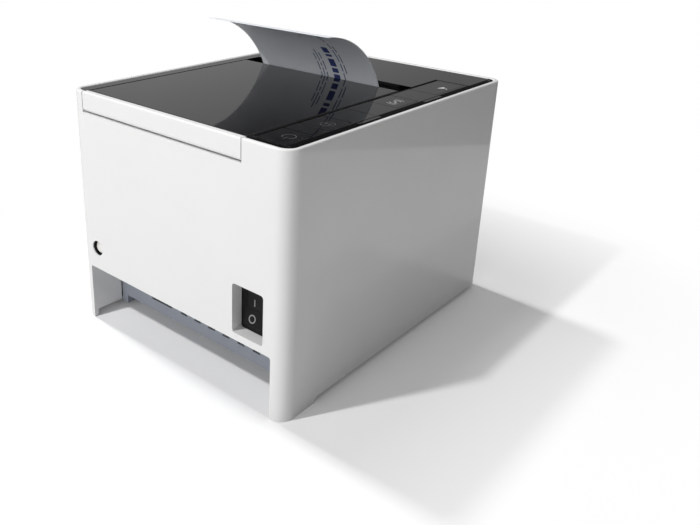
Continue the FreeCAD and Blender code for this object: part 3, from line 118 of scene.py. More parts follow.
def moulded(name, colour, shade, grain_mm, rough, grain_depth_mm=0.02, drift_mm=45.0, **more):
    """Moulded plastic: a slow drift between two close tones, spark-eroded grain as bump, and roughness that
    wanders with handling."""
    material, tree, place = blank(name)
    drift = add(tree, "TexNoise", {"Vector": place, "Scale": 1 / (drift_mm * MM), "Detail": 3.0})
    grain = add(tree, "TexNoise", {"Vector": place, "Scale": 1 / (grain_mm * MM), "Detail": 2.0})
    tone = add(tree, "Mix", {0: drift, 6: linear(colour), 7: linear(shade)}, data_type="RGBA")
    polish = add(tree, "MapRange", {0: drift, 1: 0.3, 2: 0.7, 3: rough[0], 4: rough[1]})
    bump = add(tree, "Bump", {"Height": grain, "Distance": grain_depth_mm * MM, "Strength": 0.5})
    return surfaced(material, tree, tone, polish, bump, **more)


def gloss_black():
    """Polished black acrylic: near-black and mirror smooth, with a few wiped hairlines and settled dust
    specks."""
    material, tree, place = blank("polished_black_acrylic")
    wipe = add(tree, "Mapping", {"Vector": place, "Rotation": (0.0, 0.0, 0.5),
                                 "Scale": (60.0, 900.0, 60.0)})
    hair = add(tree, "TexNoise", {"Vector": wipe, "Scale": 1.0, "Detail": 2.0})
    film = add(tree, "TexNoise", {"Vector": place, "Scale": 1 / (30.0 * MM), "Detail": 4.0})
    dust = add(tree, "TexVoronoi", {"Vector": place, "Scale": 1 / (6.0 * MM)})
    speck = add(tree, "MapRange", {0: dust, 1: 0.05, 2: 0.07, 3: 1.0, 4: 0.0})
    tone = add(tree, "Mix", {0: speck, 6: linear("#060607"), 7: linear("#1C1C20")}, data_type="RGBA")
    polish = add(tree, "MapRange", {0: film, 1: 0.35, 2: 0.75, 3: 0.02, 4: 0.06})
    bump = add(tree, "Bump", {"Height": hair, "Distance": 0.0008 * MM, "Strength": 0.4})
    return surfaced(material, tree, tone, polish, bump, IOR=1.5)


def metal(name, colour, shade, rough, stretch=(1.0, 1.0, 1.0), line_mm=0.5, depth_mm=0.004):
    """Bare metal: fine working marks, stretched along the way it was rolled, ground or drawn, and a slow
    stain."""
    material, tree, place = blank(name)
    run = add(tree, "Mapping", {"Vector": place, "Scale": stretch})
    marks = add(tree, "TexNoise", {"Vector": run, "Scale": 1 / (line_mm * MM), "Detail": 3.0})
    stain = add(tree, "TexNoise", {"Vector": place, "Scale": 1 / (14.0 * MM), "Detail": 3.0})
    tone = add(tree, "Mix", {0: stain, 6: linear(colour), 7: linear(shade)}, data_type="RGBA")
    polish = add(tree, "MapRange", {0: marks, 1: 0.3, 2: 0.7, 3: rough[0], 4: rough[1]})
    bump = add(tree, "Bump", {"Height": marks, "Distance": depth_mm * MM, "Strength": 0.5})
    return surfaced(material, tree, tone, polish, bump, Metallic=1.0)


def paper(name, colour, shade):
    """Coated paper: almost even white, with faint fibre cloud in its tone and a very shallow tooth."""
    return moulded(name, colour, shade, 0.9, (0.42, 0.55), grain_depth_mm=0.01, drift_mm=9.0)


def wound_paper(centre_y, centre_z):
    """The roll's ends show its turns: rings about the roll's axis, as a sine of the distance from it. Turns
    of 0.07 mm are too fine to show, so the rings are 1.4 mm apart."""
    material, tree, place = blank("wound_thermal_paper")
    flat = add(tree, "Mapping", {"Vector": place, "Location": (0.0, -centre_y, -centre_z),
                                 "Scale": (0.0, 1.0, 1.0)})
    far = add(tree, "VectorMath", {0: flat}, operation="LENGTH").outputs["Value"]
    phase = add(tree, "Math", {0: far, 1: 2 * math.pi / (1.4 * MM)}, operation="MULTIPLY")
    wave = add(tree, "Math", {0: phase}, operation="SINE")
    level = add(tree, "MapRange", {0: wave, 1: -1.0, 2: 1.0, 3: 0.0, 4: 1.0})
    tone = add(tree, "Mix", {0: level, 6: linear("#F1F2F4"), 7: linear("#D9DCE2")}, data_type="RGBA")
    bump = add(tree, "Bump", {"Height": level, "Distance": 0.05 * MM, "Strength": 0.4})
    return surfaced(material, tree, tone, 0.55, bump)


# Finishes by material slot
finishes = {
    # injection-moulded white ABS: half-gloss, even tone, very fine grain (drawn at 0.8 mm so that it shows)
    "case_white": moulded("moulded_white_abs", "#F0F0EF", "#EAEAEA", 0.8, (0.3, 0.4), grain_depth_mm=0.008,
                          **{"Coat Weight": 0.9, "Coat Roughness": 0.06}),
    # screw cap: the same white, a little warmer
    "cap_white": moulded("moulded_white_cap", "#F2F1EE", "#EAE8E4", 0.8, (0.4, 0.5)),
    # grey tray: a cool light grey with a dull sheen
    "tray_grey": moulded("moulded_cool_grey_abs", "#9DA1AB", "#959AA4", 0.9, (0.45, 0.6)),
    # top covers: mirror black
    "gloss_black": gloss_black(),
    # switch: deep black nylon with a satin sheen
    "switch_black": moulded("satin_black_nylon", "#08080A", "#0E0E10", 0.7, (0.42, 0.52),
                            **{"Specular IOR Level": 0.25}),
    # inside mouldings: textured black ABS
    "inner_black": moulded("textured_black_abs", "#1C1C1E", "#242427", 1.0, (0.5, 0.65),
                           grain_depth_mm=0.05),
    # receipt and web: bluish white, faintly cloudy
    "paper": paper("coated_thermal_paper", "#EEF1F6", "#E4E8EF"),
    # roll core: spiral-wound grey-brown board
    "card": moulded("spiral_wound_board", "#A48A66", "#8E7453", 1.4, (0.75, 0.9), grain_depth_mm=0.06,
                    drift_mm=6.0),
    # mechanism frame: cool zinc plate, slightly blotched, rolled along X
    "steel_sheet": metal("zinc_plated_sheet", "#B9BCC0", "#A2A7AE", (0.3, 0.45), stretch=(0.08, 1.0, 1.0)),
    # pins and shafts: fine grinding marks round the pin
    "steel_pin": metal("ground_steel", "#C6C7C9", "#B4B6B9", (0.2, 0.32), stretch=(1.0, 0.2, 0.2)),
    # springs: drawn wire, darker
    "spring_steel": metal("drawn_spring_wire", "#A5A6A8", "#8D8F92", (0.28, 0.4), line_mm=0.3),
    # blades: bright steel with marks across the edge
    "blade_steel": metal("ground_blade_steel", "#CBCDD0", "#B9BCC0", (0.16, 0.28),
                         stretch=(1.0, 0.08, 1.0)),
    # motors: plated cans, dull
    "motor_zinc": metal("plated_motor_can", "#B4B7BB", "#9EA2A8", (0.32, 0.46), stretch=(0.2, 1.0, 1.0)),
    # gears: natural acetal, milky and slightly waxy
    "gear_acetal": moulded("natural_acetal", "#E6E3D9", "#DAD7CB", 0.7, (0.3, 0.42), drift_mm=12.0),
    # small turned pieces: yellow brass
    "brass": metal("turned_brass", "#C9A55A", "#B08C45", (0.22, 0.34), line_mm=0.4),
    # platen: dull black rubber with grinding grain
    "platen_rubber": moulded("ground_black_rubber", "#222224", "#2B2B2D", 0.6, (0.7, 0.85),
                             grain_depth_mm=0.04),
    # feet: dull dark grey rubber
    "foot_rubber": moulded("moulded_grey_rubber", "#2E2E30", "#38383A", 0.9, (0.75, 0.9),
                           grain_depth_mm=0.05),
    # heat sink: extruded along X
    "sink_aluminium": metal("extruded_aluminium", "#C4C6C8", "#B2B5B8", (0.3, 0.42),
                            stretch=(0.06, 1.0, 1.0)),
    # print head: warm white, smooth
    "head_ceramic": moulded("glazed_alumina", "#D8D2C6", "#CBC4B6", 0.6, (0.12, 0.2), grain_depth_mm=0.005),
    # bushes: white acetal
    "bush_acetal": moulded("white_acetal", "#E9E7E1", "#DEDBD3", 0.7, (0.3, 0.42), drift_mm=12.0),
    # latch lever: green acetal, the usual sign of a piece to be pressed
    "latch_acetal": moulded("green_acetal", "#3E6B4C", "#355E42", 0.7, (0.3, 0.42), drift_mm=12.0),
    # boards: deep green solder mask over glass fibre, its weave drawn as grain
    "board_green": moulded("green_solder_mask", "#1D5A36", "#184C2D", 0.8, (0.2, 0.32), drift_mm=7.0),
    # plug sockets: dull black
    "socket_black": moulded("moulded_socket_black", "#18181A", "#202022", 0.7, (0.4, 0.55)),
    # shielded socket: bright tin plate
    "socket_shell": metal("stamped_tin_plate", "#C0C2C5", "#ACAFB3", (0.25, 0.4), line_mm=0.6),
}
slot_of = {part["node"]: part["material_slot"] for part in frame["record"]["subparts"]}
for name, made in nodes.items():
    made.data.materials.clear()
    made.data.materials.append(finishes[slot_of[name]])

# bright white ink on the two front keys, mid grey on the rocker, dim grey on the two rear keys, a matt black
# for the painted shade in the gaps round the control strip, and the slip's blue-black print
print_white = moulded("screen_printed_white", "#D6D6D4", "#CACAC8", 0.5, (0.5, 0.6), grain_depth_mm=0.005)
print_grey = moulded("pad_printed_mid_grey", "#8E8E8C", "#848482", 0.5, (0.5, 0.6), grain_depth_mm=0.005)
print_dim = moulded("screen_printed_dim_grey", "#4E4E50", "#464648", 0.5, (0.5, 0.6), grain_depth_mm=0.005)
painted_shade_black = moulded("painted_shade_matt_black", "#040405", "#070708", 0.5, (0.6, 0.7),
                      grain_depth_mm=0.005, **{"Specular IOR Level": 0.06})
print_blue = moulded("thermal_print", "#37427A", "#454F86", 0.4, (0.5, 0.6), grain_depth_mm=0.002,
                     drift_mm=2.0)


# points nearer to each other than this are merged
SAME_PLACE = 0.0001 * MM


def piece(name, grids, body, material, thickness=0.0, wrap=(0, 0), facing=None):
    """One mesh from several grids of points, each shaped rows by columns by 3, in metres; quads join
    neighbours. Wrap says whether the last row and the last column join the first. A grid that wraps only its
    columns is a tube, closed by a face at each end. A grid whose summed face normal points away from facing
    has its quads turned round. Points in the same place are merged, which closes seams and poles."""
    points, faces, ends, start = [], [], [], 0
    for grid in grids:
        rows, columns = grid.shape[:2]
        index = start + np.arange(rows * columns).reshape(rows, columns)
        if wrap == (0, 1):
            ends += [index[0, ::-1].tolist(), index[-1].tolist()]
        index = np.pad(index, ((0, wrap[0]), (0, wrap[1])), mode="wrap")
        quads = np.stack([index[:-1, :-1], index[:-1, 1:], index[1:, 1:], index[1:, :-1]], axis=-1)
        if facing is not None:
            first = grid[:-1, 1:] - grid[:-1, :-1]
            second = grid[1:, :-1] - grid[:-1, :-1]
            if np.sum(np.cross(first, second) @ np.array(facing)) < 0:
                quads = quads[..., ::-1]
        points.append(grid.reshape(-1, 3))
        faces.append(quads.reshape(-1, 4))
        start += rows * columns
    mesh = bpy.data.meshes.new(name)
    mesh.from_pydata(np.concatenate(points).tolist(), [], np.concatenate(faces).tolist() + ends)
    work = bmesh.new()
    work.from_mesh(mesh)
    bmesh.ops.remove_doubles(work, verts=work.verts, dist=SAME_PLACE)
    work.to_mesh(mesh)
    work.free()
    mesh.polygons.foreach_set("use_smooth", np.full(len(mesh.polygons), facing is None))
    mesh.materials.append(material)
    made = bpy.data.objects.new(name, mesh)
    scene.collection.objects.link(made)
    if thickness:
        wall = made.modifiers.new("thickness", "SOLIDIFY")
        wall.thickness = thickness
        wall.offset = 0.0
    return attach(made, body)


# Paper: the slip, the web and the roll
slip_low, slip_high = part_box("receipt")
web_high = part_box("paper_web")[1]
roll_low, roll_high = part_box("paper_roll")
core_low, core_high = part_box("roll_core")
platen_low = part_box("platen_roller")[0]
PAPER_MID = (slip_low.x + slip_high.x) / 2
PAPER_HALF = (slip_high.x - slip_low.x) / 2
CAD_PAPER = 0.2 * MM
PAPER_THICK = 0.12 * MM
INK = 0.02 * MM
INK_FILM = 0.03 * MM
PRINT_Y = slip_low.y + CAD_PAPER / 2
ROLL_Y = (roll_low.y + roll_high.y) / 2
ROLL_Z = (roll_low.z + roll_high.z) / 2
ROLL_RADIUS = (roll_high.z - roll_low.z) / 2
CORE_RADIUS = (core_high.z - core_low.z) / 2

# the slip bends in the slot to its lean, then curls over to its tip
ENTRY_CURL = 12.0 * MM
SLIP_CURL = 50.0 * MM
LEAN = math.radians(66.0)
TIP_LEAN = math.radians(2.0)
SLIP_BULGE = -0.5 * MM
BULGE_RISE = 0.4
ENTRY_LENGTH = ENTRY_CURL * (math.pi / 2 - LEAN)
SLIP_LENGTH = ENTRY_LENGTH + SLIP_CURL * (LEAN - TIP_LEAN)


def slip_points(across, along, lift=0.0):
    """The slip's surface: across runs -1 to 1 over its width and along 0 to 1 over its length. Its side
    view is an arc that bends from upright to LEAN, then a longer arc that flattens to TIP_LEAN. Towards +X
    the middle of the slip stands a little off that arc: the bulge grows in line across the slip, and along
    it as 4 times along times (1 - along), with a lesser share in height. Lift moves it off the rear face
    along the surface normal."""
    s = along * SLIP_LENGTH
    turn = np.where(s < ENTRY_LENGTH, math.pi / 2 - s / ENTRY_CURL, LEAN - (s - ENTRY_LENGTH) / SLIP_CURL)
    first = np.maximum(turn, LEAN)
    second = np.minimum(turn, LEAN)
    y = ENTRY_CURL * (1 - np.sin(first)) + SLIP_CURL * (math.sin(LEAN) - np.sin(second))
    z = ENTRY_CURL * np.cos(first) + SLIP_CURL * (np.cos(second) - math.cos(LEAN))
    bulge = SLIP_BULGE * (across + 1) / 2 * 4 * along * (1 - along)
    y = PRINT_Y + y + (lift - bulge) * np.sin(turn)
    z = slip_low.z + z + (BULGE_RISE * bulge - lift) * np.cos(turn)
    return np.stack([PAPER_MID + across * PAPER_HALF, y, z], axis=-1)


def slip_grid(across, along, columns, rows, lift=0.0):
    """A patch of the slip between two places across it and two along it."""
    u, v = np.meshgrid(np.linspace(across[0], across[1], columns), np.linspace(along[0], along[1], rows))
    return slip_points(u, v, lift)


def print_rows():
    """Greeked lines of print: each word is a small patch just off the slip's rear face. A row is its place
    across, its half height and its words as start and end along the slip."""
    thin = 0.007
    bold = 0.05
    rows = [(-0.08, thin, [(0.05, 0.12), (0.14, 0.24), (0.26, 0.34)]),
            (-0.13, thin, [(0.08, 0.17), (0.19, 0.23), (0.25, 0.40)]),
            (-0.18, thin, [(0.05, 0.13), (0.15, 0.26), (0.28, 0.36)]),
            (-0.34, bold, [(0.03, 0.12), (0.14, 0.19), (0.21, 0.30), (0.33, 0.36), (0.38, 0.46)]),
            (-0.47, thin, [(0.05, 0.15), (0.17, 0.26), (0.28, 0.44), (0.46, 0.54), (0.57, 0.75)]),
            (-0.52, thin, [(0.15, 0.25), (0.27, 0.38), (0.41, 0.50)])]
    lift = PAPER_THICK / 2 + INK
    return [slip_grid((middle - half, middle + half), word, columns=3, rows=7, lift=lift)
            for middle, half, words in rows for word in words]


slip = piece("printed_slip", [slip_grid((-1, 1), (0, 1), columns=49, rows=97)], "slip", finishes["paper"],
             thickness=PAPER_THICK)
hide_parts("receipt")
slip_print = piece("slip_print", print_rows(), "slip", print_blue, thickness=INK_FILM,
                   facing=(0.0, 1.0, -0.5))

# the web leaves the roll's front side, runs straight up to a bend under the platen and on up to the blade
WEB_BEND = 12.0 * MM
WEB_BEND_DROP = 2.0 * MM
WEB_OFF_ROLL = 0.3 * MM + CAD_PAPER / 2
bend_z = platen_low.z - WEB_BEND_DROP
roll_far = math.hypot(ROLL_Y - PRINT_Y, ROLL_Z - bend_z)
web_off = ROLL_RADIUS + WEB_OFF_ROLL
web_angle = math.atan2(ROLL_Z - bend_z, ROLL_Y - PRINT_Y) - math.asin(web_off / roll_far)
web_turn = math.pi / 2 + web_angle
web_run = math.sqrt(roll_far ** 2 - web_off ** 2)
web_trim = WEB_BEND * math.tan(web_turn / 2)
WEB_PARTS = (web_run - web_trim, WEB_BEND * web_turn, web_high.z - bend_z - web_trim)
WEB_LENGTH = sum(WEB_PARTS)


def web_points(across, along):
    """The web's surface: across runs -1 to 1 over its width and along 0 to 1 from the roll to the blade.
    Its side view is a straight run off the roll, an arc under the platen and a straight run up the print
    line."""
    s = along * WEB_LENGTH
    bent = np.clip((s - WEB_PARTS[0]) / WEB_BEND, 0, web_turn)
    left = np.maximum(web_run - s, web_trim)
    risen = np.maximum(s - WEB_PARTS[0] - WEB_PARTS[1], 0)
    angle = math.pi + web_turn - bent
    on_run = s < WEB_PARTS[0]
    y = np.where(on_run, left * math.cos(web_angle), WEB_BEND * (1 + np.cos(angle)))
    z = np.where(on_run, left * math.sin(web_angle), web_trim + WEB_BEND * np.sin(angle) + risen)
    return np.stack([PAPER_MID + across * PAPER_HALF, PRINT_Y + y, bend_z + z], axis=-1)


web_across, web_along = np.meshgrid(np.linspace(-1, 1, 9), np.linspace(0, 1, 161))
web = piece("feed_web", [web_points(web_across, web_along)], "chassis", finishes["paper"],
            thickness=PAPER_THICK)
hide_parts("paper_web")


# the roll's rounded edge, its gap to the core, and how far its end faces are set in and waver
ROLL_EDGE = 0.25 * MM
CORE_GAP = 0.02 * MM
END_SET_IN = 0.05 * MM
END_WAVER = 0.04 * MM
WAVER_PER_MM = 2.1


def roll_grid():
    """The roll is a rounded rectangle in radius and width, turned about its axis, with end faces that waver
    by a few hundredths of a millimetre from turn to turn."""
    turn = np.linspace(0, -2 * math.pi, 128, endpoint=False)[:, None]
    inner = np.linspace(CORE_RADIUS + CORE_GAP, ROLL_RADIUS - ROLL_EDGE, 24)
    end = PAPER_HALF - END_SET_IN + END_WAVER * np.sin(inner * WAVER_PER_MM / MM)
    rim = PAPER_HALF - ROLL_EDGE
    across = np.concatenate([-end, [-rim, rim], end[::-1]])
    radius = np.concatenate([inner, [ROLL_RADIUS, ROLL_RADIUS], inner[::-1]])
    x = PAPER_MID + across + 0 * turn
    return np.stack([x, ROLL_Y + radius * np.cos(turn), ROLL_Z + radius * np.sin(turn)], axis=-1)


roll = piece("wound_roll", [roll_grid()], "roll", wound_paper(ROLL_Y, ROLL_Z), wrap=(1, 1))
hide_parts("paper_roll")


EAST = np.array([1.0, 0.0, 0.0])
NORTH = np.array([0.0, 1.0, 0.0])
UP = np.array([0.0, 0.0, 1.0])

# Springs, which shorten with what they press on; each coil is drawn at the length of its CAD box
SPRING_WIRE = 0.45 * MM
SPRING_RADIUS = 2.6 * MM
HEAD_SPRING_TURNS = 6
KEY_SPRING_TURNS = 3
STEPS_PER_TURN = 24
WIRE_SIDES = 12


def coil(foot, along_u, along_v, length, turns):
    """A round wire carried along a helix: the helix is a radius times cosine and sine of the turn along two
    directions, rising evenly along the third, and the wire's ring lies square to it."""
    axis = np.cross(along_u, along_v)
    rise = length - 2 * SPRING_WIRE
    turn = np.linspace(0, 2 * math.pi * turns, STEPS_PER_TURN * turns + 1)[:, None]
    out = np.cos(turn) * along_u + np.sin(turn) * along_v
    round_way = np.cos(turn) * along_v - np.sin(turn) * along_u
    centre = foot + SPRING_RADIUS * out + (SPRING_WIRE + rise * turn / turn[-1]) * axis
    tangent = SPRING_RADIUS * round_way + rise / turn[-1] * axis
    tangent = tangent / np.linalg.norm(tangent, axis=1, keepdims=True)
    side = np.cross(tangent, out)
    angle = np.linspace(0, 2 * math.pi, WIRE_SIDES, endpoint=False)[None, :, None]
    ring_out = np.cos(angle) * out[:, None] + np.sin(angle) * side[:, None]
    return centre[:, None] + SPRING_WIRE * ring_out


head_low, head_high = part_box("head_springs")
HEAD_SPRING_REACH = SPRING_RADIUS + SPRING_WIRE
head_z = (head_low.z + head_high.z) / 2
head_coils = piece("head_coils", [
    coil(np.array([x, head_low.y, head_z]), EAST, -UP, head_high.y - head_low.y, HEAD_SPRING_TURNS)
    for x in (head_low.x + HEAD_SPRING_REACH, head_high.x - HEAD_SPRING_REACH)],
    "chassis", finishes["spring_steel"], wrap=(0, 1))
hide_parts("head_springs")
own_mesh(head_coils)

key_low, key_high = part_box("release_spring")
key_foot = np.array([(key_low.x + key_high.x) / 2, (key_low.y + key_high.y) / 2, key_low.z])
key_length = key_high.z - key_low.z
release_coil = piece("release_coil", [coil(key_foot, EAST, NORTH, key_length, KEY_SPRING_TURNS)],
                     "chassis", finishes["spring_steel"], wrap=(0, 1))
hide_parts("release_spring")
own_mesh(release_coil)


# Marks printed on the keys and the rocker
def bar(centre, along_u, along_v, half_u, half_v):
    """A flat bar: centre plus u and v times two edge directions."""
    u, v = np.meshgrid(np.linspace(-1, 1, 7), np.linspace(-1, 1, 3))
    return centre + (u * half_u)[..., None] * along_u + (v * half_v)[..., None] * along_v


def ring(centre, along_u, along_v, inner, outer, start=0.0, end=2 * math.pi):
    """A flat ring: centre plus radius times cosine and sine of an angle along two directions."""
    angle, radius = np.meshgrid(np.linspace(start, end, 49), np.linspace(inner, outer, 3))
    flat = (radius * np.cos(angle))[..., None] * along_u + (radius * np.sin(angle))[..., None] * along_v
    return centre + flat


# share of a wedge's height that is gone at its tip
TAPER = 0.96


def wedge(centre, along_u, along_v, length, half):
    """A flat wedge: its half height shrinks in line from one end to a fine tip at the other."""
    u, v = np.meshgrid(np.linspace(0, 1, 7), np.linspace(-1, 1, 5))
    high = half * (1 - TAPER * u)
    return centre + (u * length)[..., None] * along_u + (v * high)[..., None] * along_v


def key_spot(node, x_mm, y_mm):
    """A place on a key's top: millimetres from its middle, lifted by the ink."""
    low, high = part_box(node)
    return np.array([(low.x + high.x) / 2 + x_mm * MM, (low.y + high.y) / 2 + y_mm * MM, high.z + INK])


OPEN_WAY = EAST * 0.6 + NORTH * 0.8
OPEN_SIDE = EAST * 0.8 - NORTH * 0.6
piece("release_mark", [
    wedge(key_spot("release_key", x_mm=-3.6, y_mm=-2.3), OPEN_WAY, OPEN_SIDE, length=4.6 * MM,
          half=1.7 * MM),
    bar(key_spot("release_key", x_mm=-4.4, y_mm=-1.1), OPEN_SIDE, OPEN_WAY, half_u=1.5 * MM,
        half_v=0.35 * MM)],
    "release", print_white, thickness=INK_FILM, facing=UP)

feed_spot = key_spot("feed_key", x_mm=-1.4, y_mm=0.5)
piece("feed_mark", [ring(feed_spot, EAST, NORTH, inner=0.0, outer=0.65 * MM)] + [
    ring(feed_spot, EAST, NORTH, inner * MM, outer * MM, middle - half, middle + half)
    for inner, outer, half in ((2.6, 2.85, 0.95), (4.2, 4.4, 0.65))
    for middle in (math.pi / 2, 3 * math.pi / 2)],
    "feed", print_white, thickness=INK_FILM, facing=UP)

pause_spot = key_spot("pause_key", x_mm=-2.0, y_mm=0.4)
piece("pause_mark", [
    ring(pause_spot, EAST, NORTH, inner=3.0 * MM, outer=3.35 * MM)] + [
    bar(pause_spot + EAST * side * MM, NORTH, EAST, half_u=1.3 * MM, half_v=0.35 * MM) for side in (-1, 1)],
    "pause", print_dim, thickness=INK_FILM, facing=UP)

POWER_GAP = 0.6
POWER_BAR_RISE = 2.2
power_spot = key_spot("power_key", x_mm=-2.0, y_mm=0.0)
piece("power_mark", [
    ring(power_spot, EAST, NORTH, inner=2.7 * MM, outer=3.1 * MM, start=math.pi / 2 + POWER_GAP,
         end=math.pi * 5 / 2 - POWER_GAP),
    bar(power_spot + NORTH * POWER_BAR_RISE * MM, NORTH, EAST, half_u=1.6 * MM, half_v=0.25 * MM)],
    "power", print_dim, thickness=INK_FILM, facing=UP)

# painted shade: a matt black film stands for the shadow in the gaps round the control strip, narrow along
# the rim, wider beside the keys where their side faces are in shade, and along the seam with the lid
BORDER_INSET = 0.4 * MM
BORDER_NARROW = 1.3 * MM
BEZEL_CORNER = 4.45 * MM
SEAM = 0.5 * MM
bezel_low, bezel_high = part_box("top_bezel")
lid_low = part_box("lid_cover")[0]
BORDER_END = lid_low.x - SEAM


def border_line(inset):
    """The bezel's edge on the key side, set in by a distance: along the rear from the lid's seam, a quarter
    circle round the rear corner, along the side and a quarter circle round the front corner."""
    turn = np.linspace(math.pi / 2, math.pi, 13)
    radius = BEZEL_CORNER - inset
    x = bezel_low.x + BEZEL_CORNER + radius * np.concatenate([np.cos(turn), np.cos(turn[::-1])])
    rear = bezel_high.y - BEZEL_CORNER + radius * np.sin(turn)
    front = bezel_low.y + BEZEL_CORNER - radius * np.sin(turn[::-1])
    line = np.stack([x, np.concatenate([rear, front])], axis=-1)
    line = np.concatenate([[(BORDER_END, bezel_high.y - inset)], line])
    return np.pad(line, ((0, 0), (0, 1)), constant_values=bezel_high.z + INK)


def border_patch(x0, x1, y0, y1):
    """A flat patch of border between two x and two y."""
    middle = np.array([(x0 + x1) / 2, (y0 + y1) / 2, bezel_high.z + INK])
    return bar(middle, EAST, NORTH, (x1 - x0) / 2, (y1 - y0) / 2)


release_low, release_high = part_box("release_key")
feed_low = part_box("feed_key")[0]
pause_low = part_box("pause_key")[0]
power_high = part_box("power_key")[1]
KEY_WALL = 1.4 * MM
STRIP_ROUND = 0.3 * MM
KEY_GAP = 0.1 * MM
PATCH_GAP = 0.01 * MM
WIDE_FROM = bezel_low.x + BORDER_INSET + BORDER_NARROW + PATCH_GAP
WIDE_TO = release_low.x - KEY_WALL - SEAM
FRONT_Y = bezel_low.y + BEZEL_CORNER
# the score across the strip, measured from a little behind the power key
BEHIND_POWER = 0.5 * MM
SCORE_REACH = 61.0 * MM
SCORE_Y = power_high.y + BEHIND_POWER - SCORE_REACH
beside_keys = [(FRONT_Y, release_high.y), (feed_low.y, SCORE_Y), (pause_low.y, power_high.y)]
rim = np.stack([border_line(BORDER_INSET), border_line(BORDER_INSET + BORDER_NARROW)])
along_lid = border_patch(release_high.x + KEY_GAP, release_high.x + KEY_WALL - STRIP_ROUND,
                         release_low.y, power_high.y)
# the painted shade film: over the rim groove, beside the keys and along the lid seam
piece("painted_shade_border",
      [rim] + [border_patch(WIDE_FROM, WIDE_TO, y0, y1) for y0, y1 in beside_keys] + [along_lid],
      "chassis", painted_shade_black, thickness=INK_FILM, facing=UP)

# the rocker's two faces meet at a ridge in front of its pivot; its upper face is upright at rest
BEZEL_LIP = 1.6 * MM
ROCKER_RISE = 1.6 * MM
SWING = math.radians(9.0)
switch_low, switch_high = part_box("switch_body")
MARK_SHIFT = 1.0 * MM
BAR_RISE = 2.45
RING_DROP = 5.0
RIDGE = np.array([(switch_low.x + switch_high.x) / 2 + MARK_SHIFT,
                  switch_high.y - BEZEL_LIP + ROCKER_RISE * math.cos(SWING),
                  (switch_low.z + switch_high.z) / 2 + ROCKER_RISE * math.sin(SWING)])
FACE_UP = np.array([0.0, -math.sin(2 * SWING), math.cos(2 * SWING)])
FACE_OUT = np.array([0.0, math.cos(2 * SWING), math.sin(2 * SWING)])
piece("switch_marks", [
    bar(RIDGE + UP * BAR_RISE * MM + NORTH * INK, UP, EAST, half_u=1.65 * MM, half_v=0.3 * MM),
    ring(RIDGE - FACE_UP * RING_DROP * MM + FACE_OUT * INK, EAST, FACE_UP, inner=1.4 * MM, outer=1.95 * MM)],
    "switch", print_grey, thickness=INK_FILM, facing=NORTH)


# Floor, light and camera
def floor_material():
    """Matt white card. Seen directly it is lifted towards white, more so away from the object's footprint:
    the distance is the length of what is left of |place| after taking off half the footprint."""
    material, tree, place = blank("matt_white_card")
    seen = add(tree, "LightPath").outputs["Is Camera Ray"]
    whole = add(tree, "VectorMath", {0: place}, operation="ABSOLUTE")
    half = (cad_box[1] - cad_box[0]) / 2
    beyond = add(tree, "VectorMath", {0: whole, 1: half}, operation="SUBTRACT")
    outside = add(tree, "VectorMath", {0: beyond}, operation="MAXIMUM")
    far = add(tree, "VectorMath", {0: outside}, operation="LENGTH").outputs["Value"]
    fade = add(tree, "MapRange", {0: far, 1: 0.03, 2: 0.15, 3: 0.0, 4: 1.0})
    plain = add(tree, "BsdfDiffuse", {"Color": grey(0.65)})
    shaded = add(tree, "AddShader", {0: add(tree, "BsdfDiffuse", {"Color": grey(0.92)}),
                                     1: add(tree, "Emission", {"Color": grey(1.0), "Strength": 0.06})})
    lifted = add(tree, "MixShader", {0: fade, 1: shaded, 2: add(tree, "Emission", {"Color": grey(1.0)})})
    add(tree, "OutputMaterial", {"Surface": add(tree, "MixShader", {0: seen, 1: plain, 2: lifted})})
    return material


# the card ends in front of the key side, so that side mirrors its edge; in metres, with directions square to
# that edge and along it
CARD_EDGE = 0.367
CARD_FAR = 6.0
edge_out = np.array([-0.792, -0.612, 0.0])
edge_along = np.array([0.612, -0.792, 0.0])
card_corners = [edge_out * out + edge_along * side for out, side in
                ((CARD_EDGE, -CARD_FAR), (CARD_EDGE, CARD_FAR),
                 (-CARD_FAR, CARD_FAR), (-CARD_FAR, -CARD_FAR))]
floor_mesh = bpy.data.meshes.new("floor")
floor_mesh.from_pydata([tuple(corner) for corner in card_corners], [], [(0, 1, 2, 3)])
floor_mesh.materials.append(floor_material())
floor = bpy.data.objects.new("floor", floor_mesh)
scene.collection.objects.link(floor)

# studio: an even dim fill, white behind, and for mirrors a bright low band that fades upwards
FILL = 0.11
world = bpy.data.worlds.new("studio")
scene.world = world
world.use_nodes = True
sky = world.node_tree
sky.nodes.clear()
path = add(sky, "LightPath")
toward = add(sky, "SeparateXYZ", {0: add(sky, "TexCoord").outputs["Generated"]})
rise = toward.outputs["Z"]
panel = add(sky, "MapRange", {0: toward.outputs["X"], 1: 0.45, 2: 0.75, 3: 0.28, 4: 0.48})
above = add(sky, "MapRange", {0: rise, 1: 0.02, 2: 0.18, 3: 1.0, 4: panel})
below = add(sky, "MapRange", {0: rise, 1: -0.02, 2: 0.0, 3: 0.1, 4: 1.0})
mirrored = add(sky, "Math", {0: above, 1: below}, operation="MULTIPLY")
to_mirror = add(sky, "Mix", {0: path.outputs["Is Glossy Ray"], 2: FILL, 3: mirrored})
direct = add(sky, "Math", {0: path.outputs["Is Camera Ray"], 1: path.outputs["Is Transmission Ray"]},
             operation="MAXIMUM")
level = add(sky, "Mix", {0: direct, 2: to_mirror, 3: 1.0})
back = add(sky, "Background", {"Color": grey(1.0), "Strength": level})
add(sky, "OutputWorld", {"Surface": back})


def studio_lamp(name, kind, level, **settings):
    """A lamp of a kind that mirrors don't show."""
    lamp = bpy.data.lights.new(name, kind)
    lamp.energy = level
    for key, value in settings.items():
        setattr(lamp, key, value)
    made = bpy.data.objects.new(name, lamp)
    made.visible_glossy = False
    scene.collection.objects.link(made)
    return made


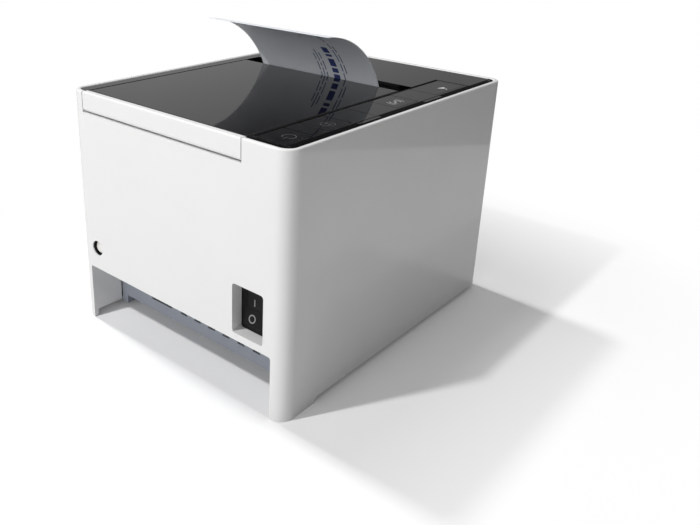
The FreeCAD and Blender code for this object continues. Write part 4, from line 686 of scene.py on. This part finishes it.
def far_lamp(name, direction, level, spread_degrees):
    """A distant lamp from a direction; level is the radiance that it gives a white card square to it."""
    made = studio_lamp(name, "SUN", level * math.pi, angle=math.radians(spread_degrees))
    made.rotation_euler = Vector(direction).to_track_quat("Z", "Y").to_euler()


def near_lamp(name, place, level, radius):
    """A small round lamp at a place; level is the radiance that it gives a white card at the origin, square
    to it."""
    place = Vector(place)
    power = level * 4 * math.pi ** 2 * place.length_squared
    made = studio_lamp(name, "POINT", power, shadow_soft_size=radius)
    made.location = place


near_lamp("rear_lamp", (0.185, 0.547, 0.785), 0.43, 0.02)
far_lamp("side_lamp", (0.85, -0.02, 1.24), 0.42, 5.0)
far_lamp("front_lamp", (0.1, -0.75, 1.2), 0.12, 60.0)
far_lamp("low_lamp", (-0.1, 0.9, 0.3), 0.36, 50.0)

AZIMUTH = math.radians(220.844)
ELEVATION = math.radians(20.659)
CAMERA_ROLL = math.radians(1.395)
CAMERA_PLACE = Vector((-0.241264, 0.292873, 0.212321))
FOCAL_PX = 756.632
CENTRE_PX = (277.348, 183.172)
IMAGE_PX = (700, 525)
behind = Vector((math.sin(AZIMUTH) * math.cos(ELEVATION), -math.cos(AZIMUTH) * math.cos(ELEVATION),
                 math.sin(ELEVATION)))
level_right = (-behind).cross(Vector((0, 0, 1))).normalized()
level_up = level_right.cross(-behind)
right = level_right * math.cos(CAMERA_ROLL) + level_up * math.sin(CAMERA_ROLL)
upward = level_up * math.cos(CAMERA_ROLL) - level_right * math.sin(CAMERA_ROLL)
lens = bpy.data.cameras.new("camera")
lens.sensor_width = 36.0
lens.lens = lens.sensor_width * FOCAL_PX / IMAGE_PX[0]
lens.shift_x = (IMAGE_PX[0] / 2 - CENTRE_PX[0]) / IMAGE_PX[0]
lens.shift_y = (CENTRE_PX[1] - IMAGE_PX[1] / 2) / IMAGE_PX[0]
camera = bpy.data.objects.new("camera", lens)
turned = Matrix((right, upward, behind)).transposed().to_4x4()
camera.matrix_world = Matrix.Translation(CAMERA_PLACE) @ turned
scene.collection.objects.link(camera)
scene.camera = camera
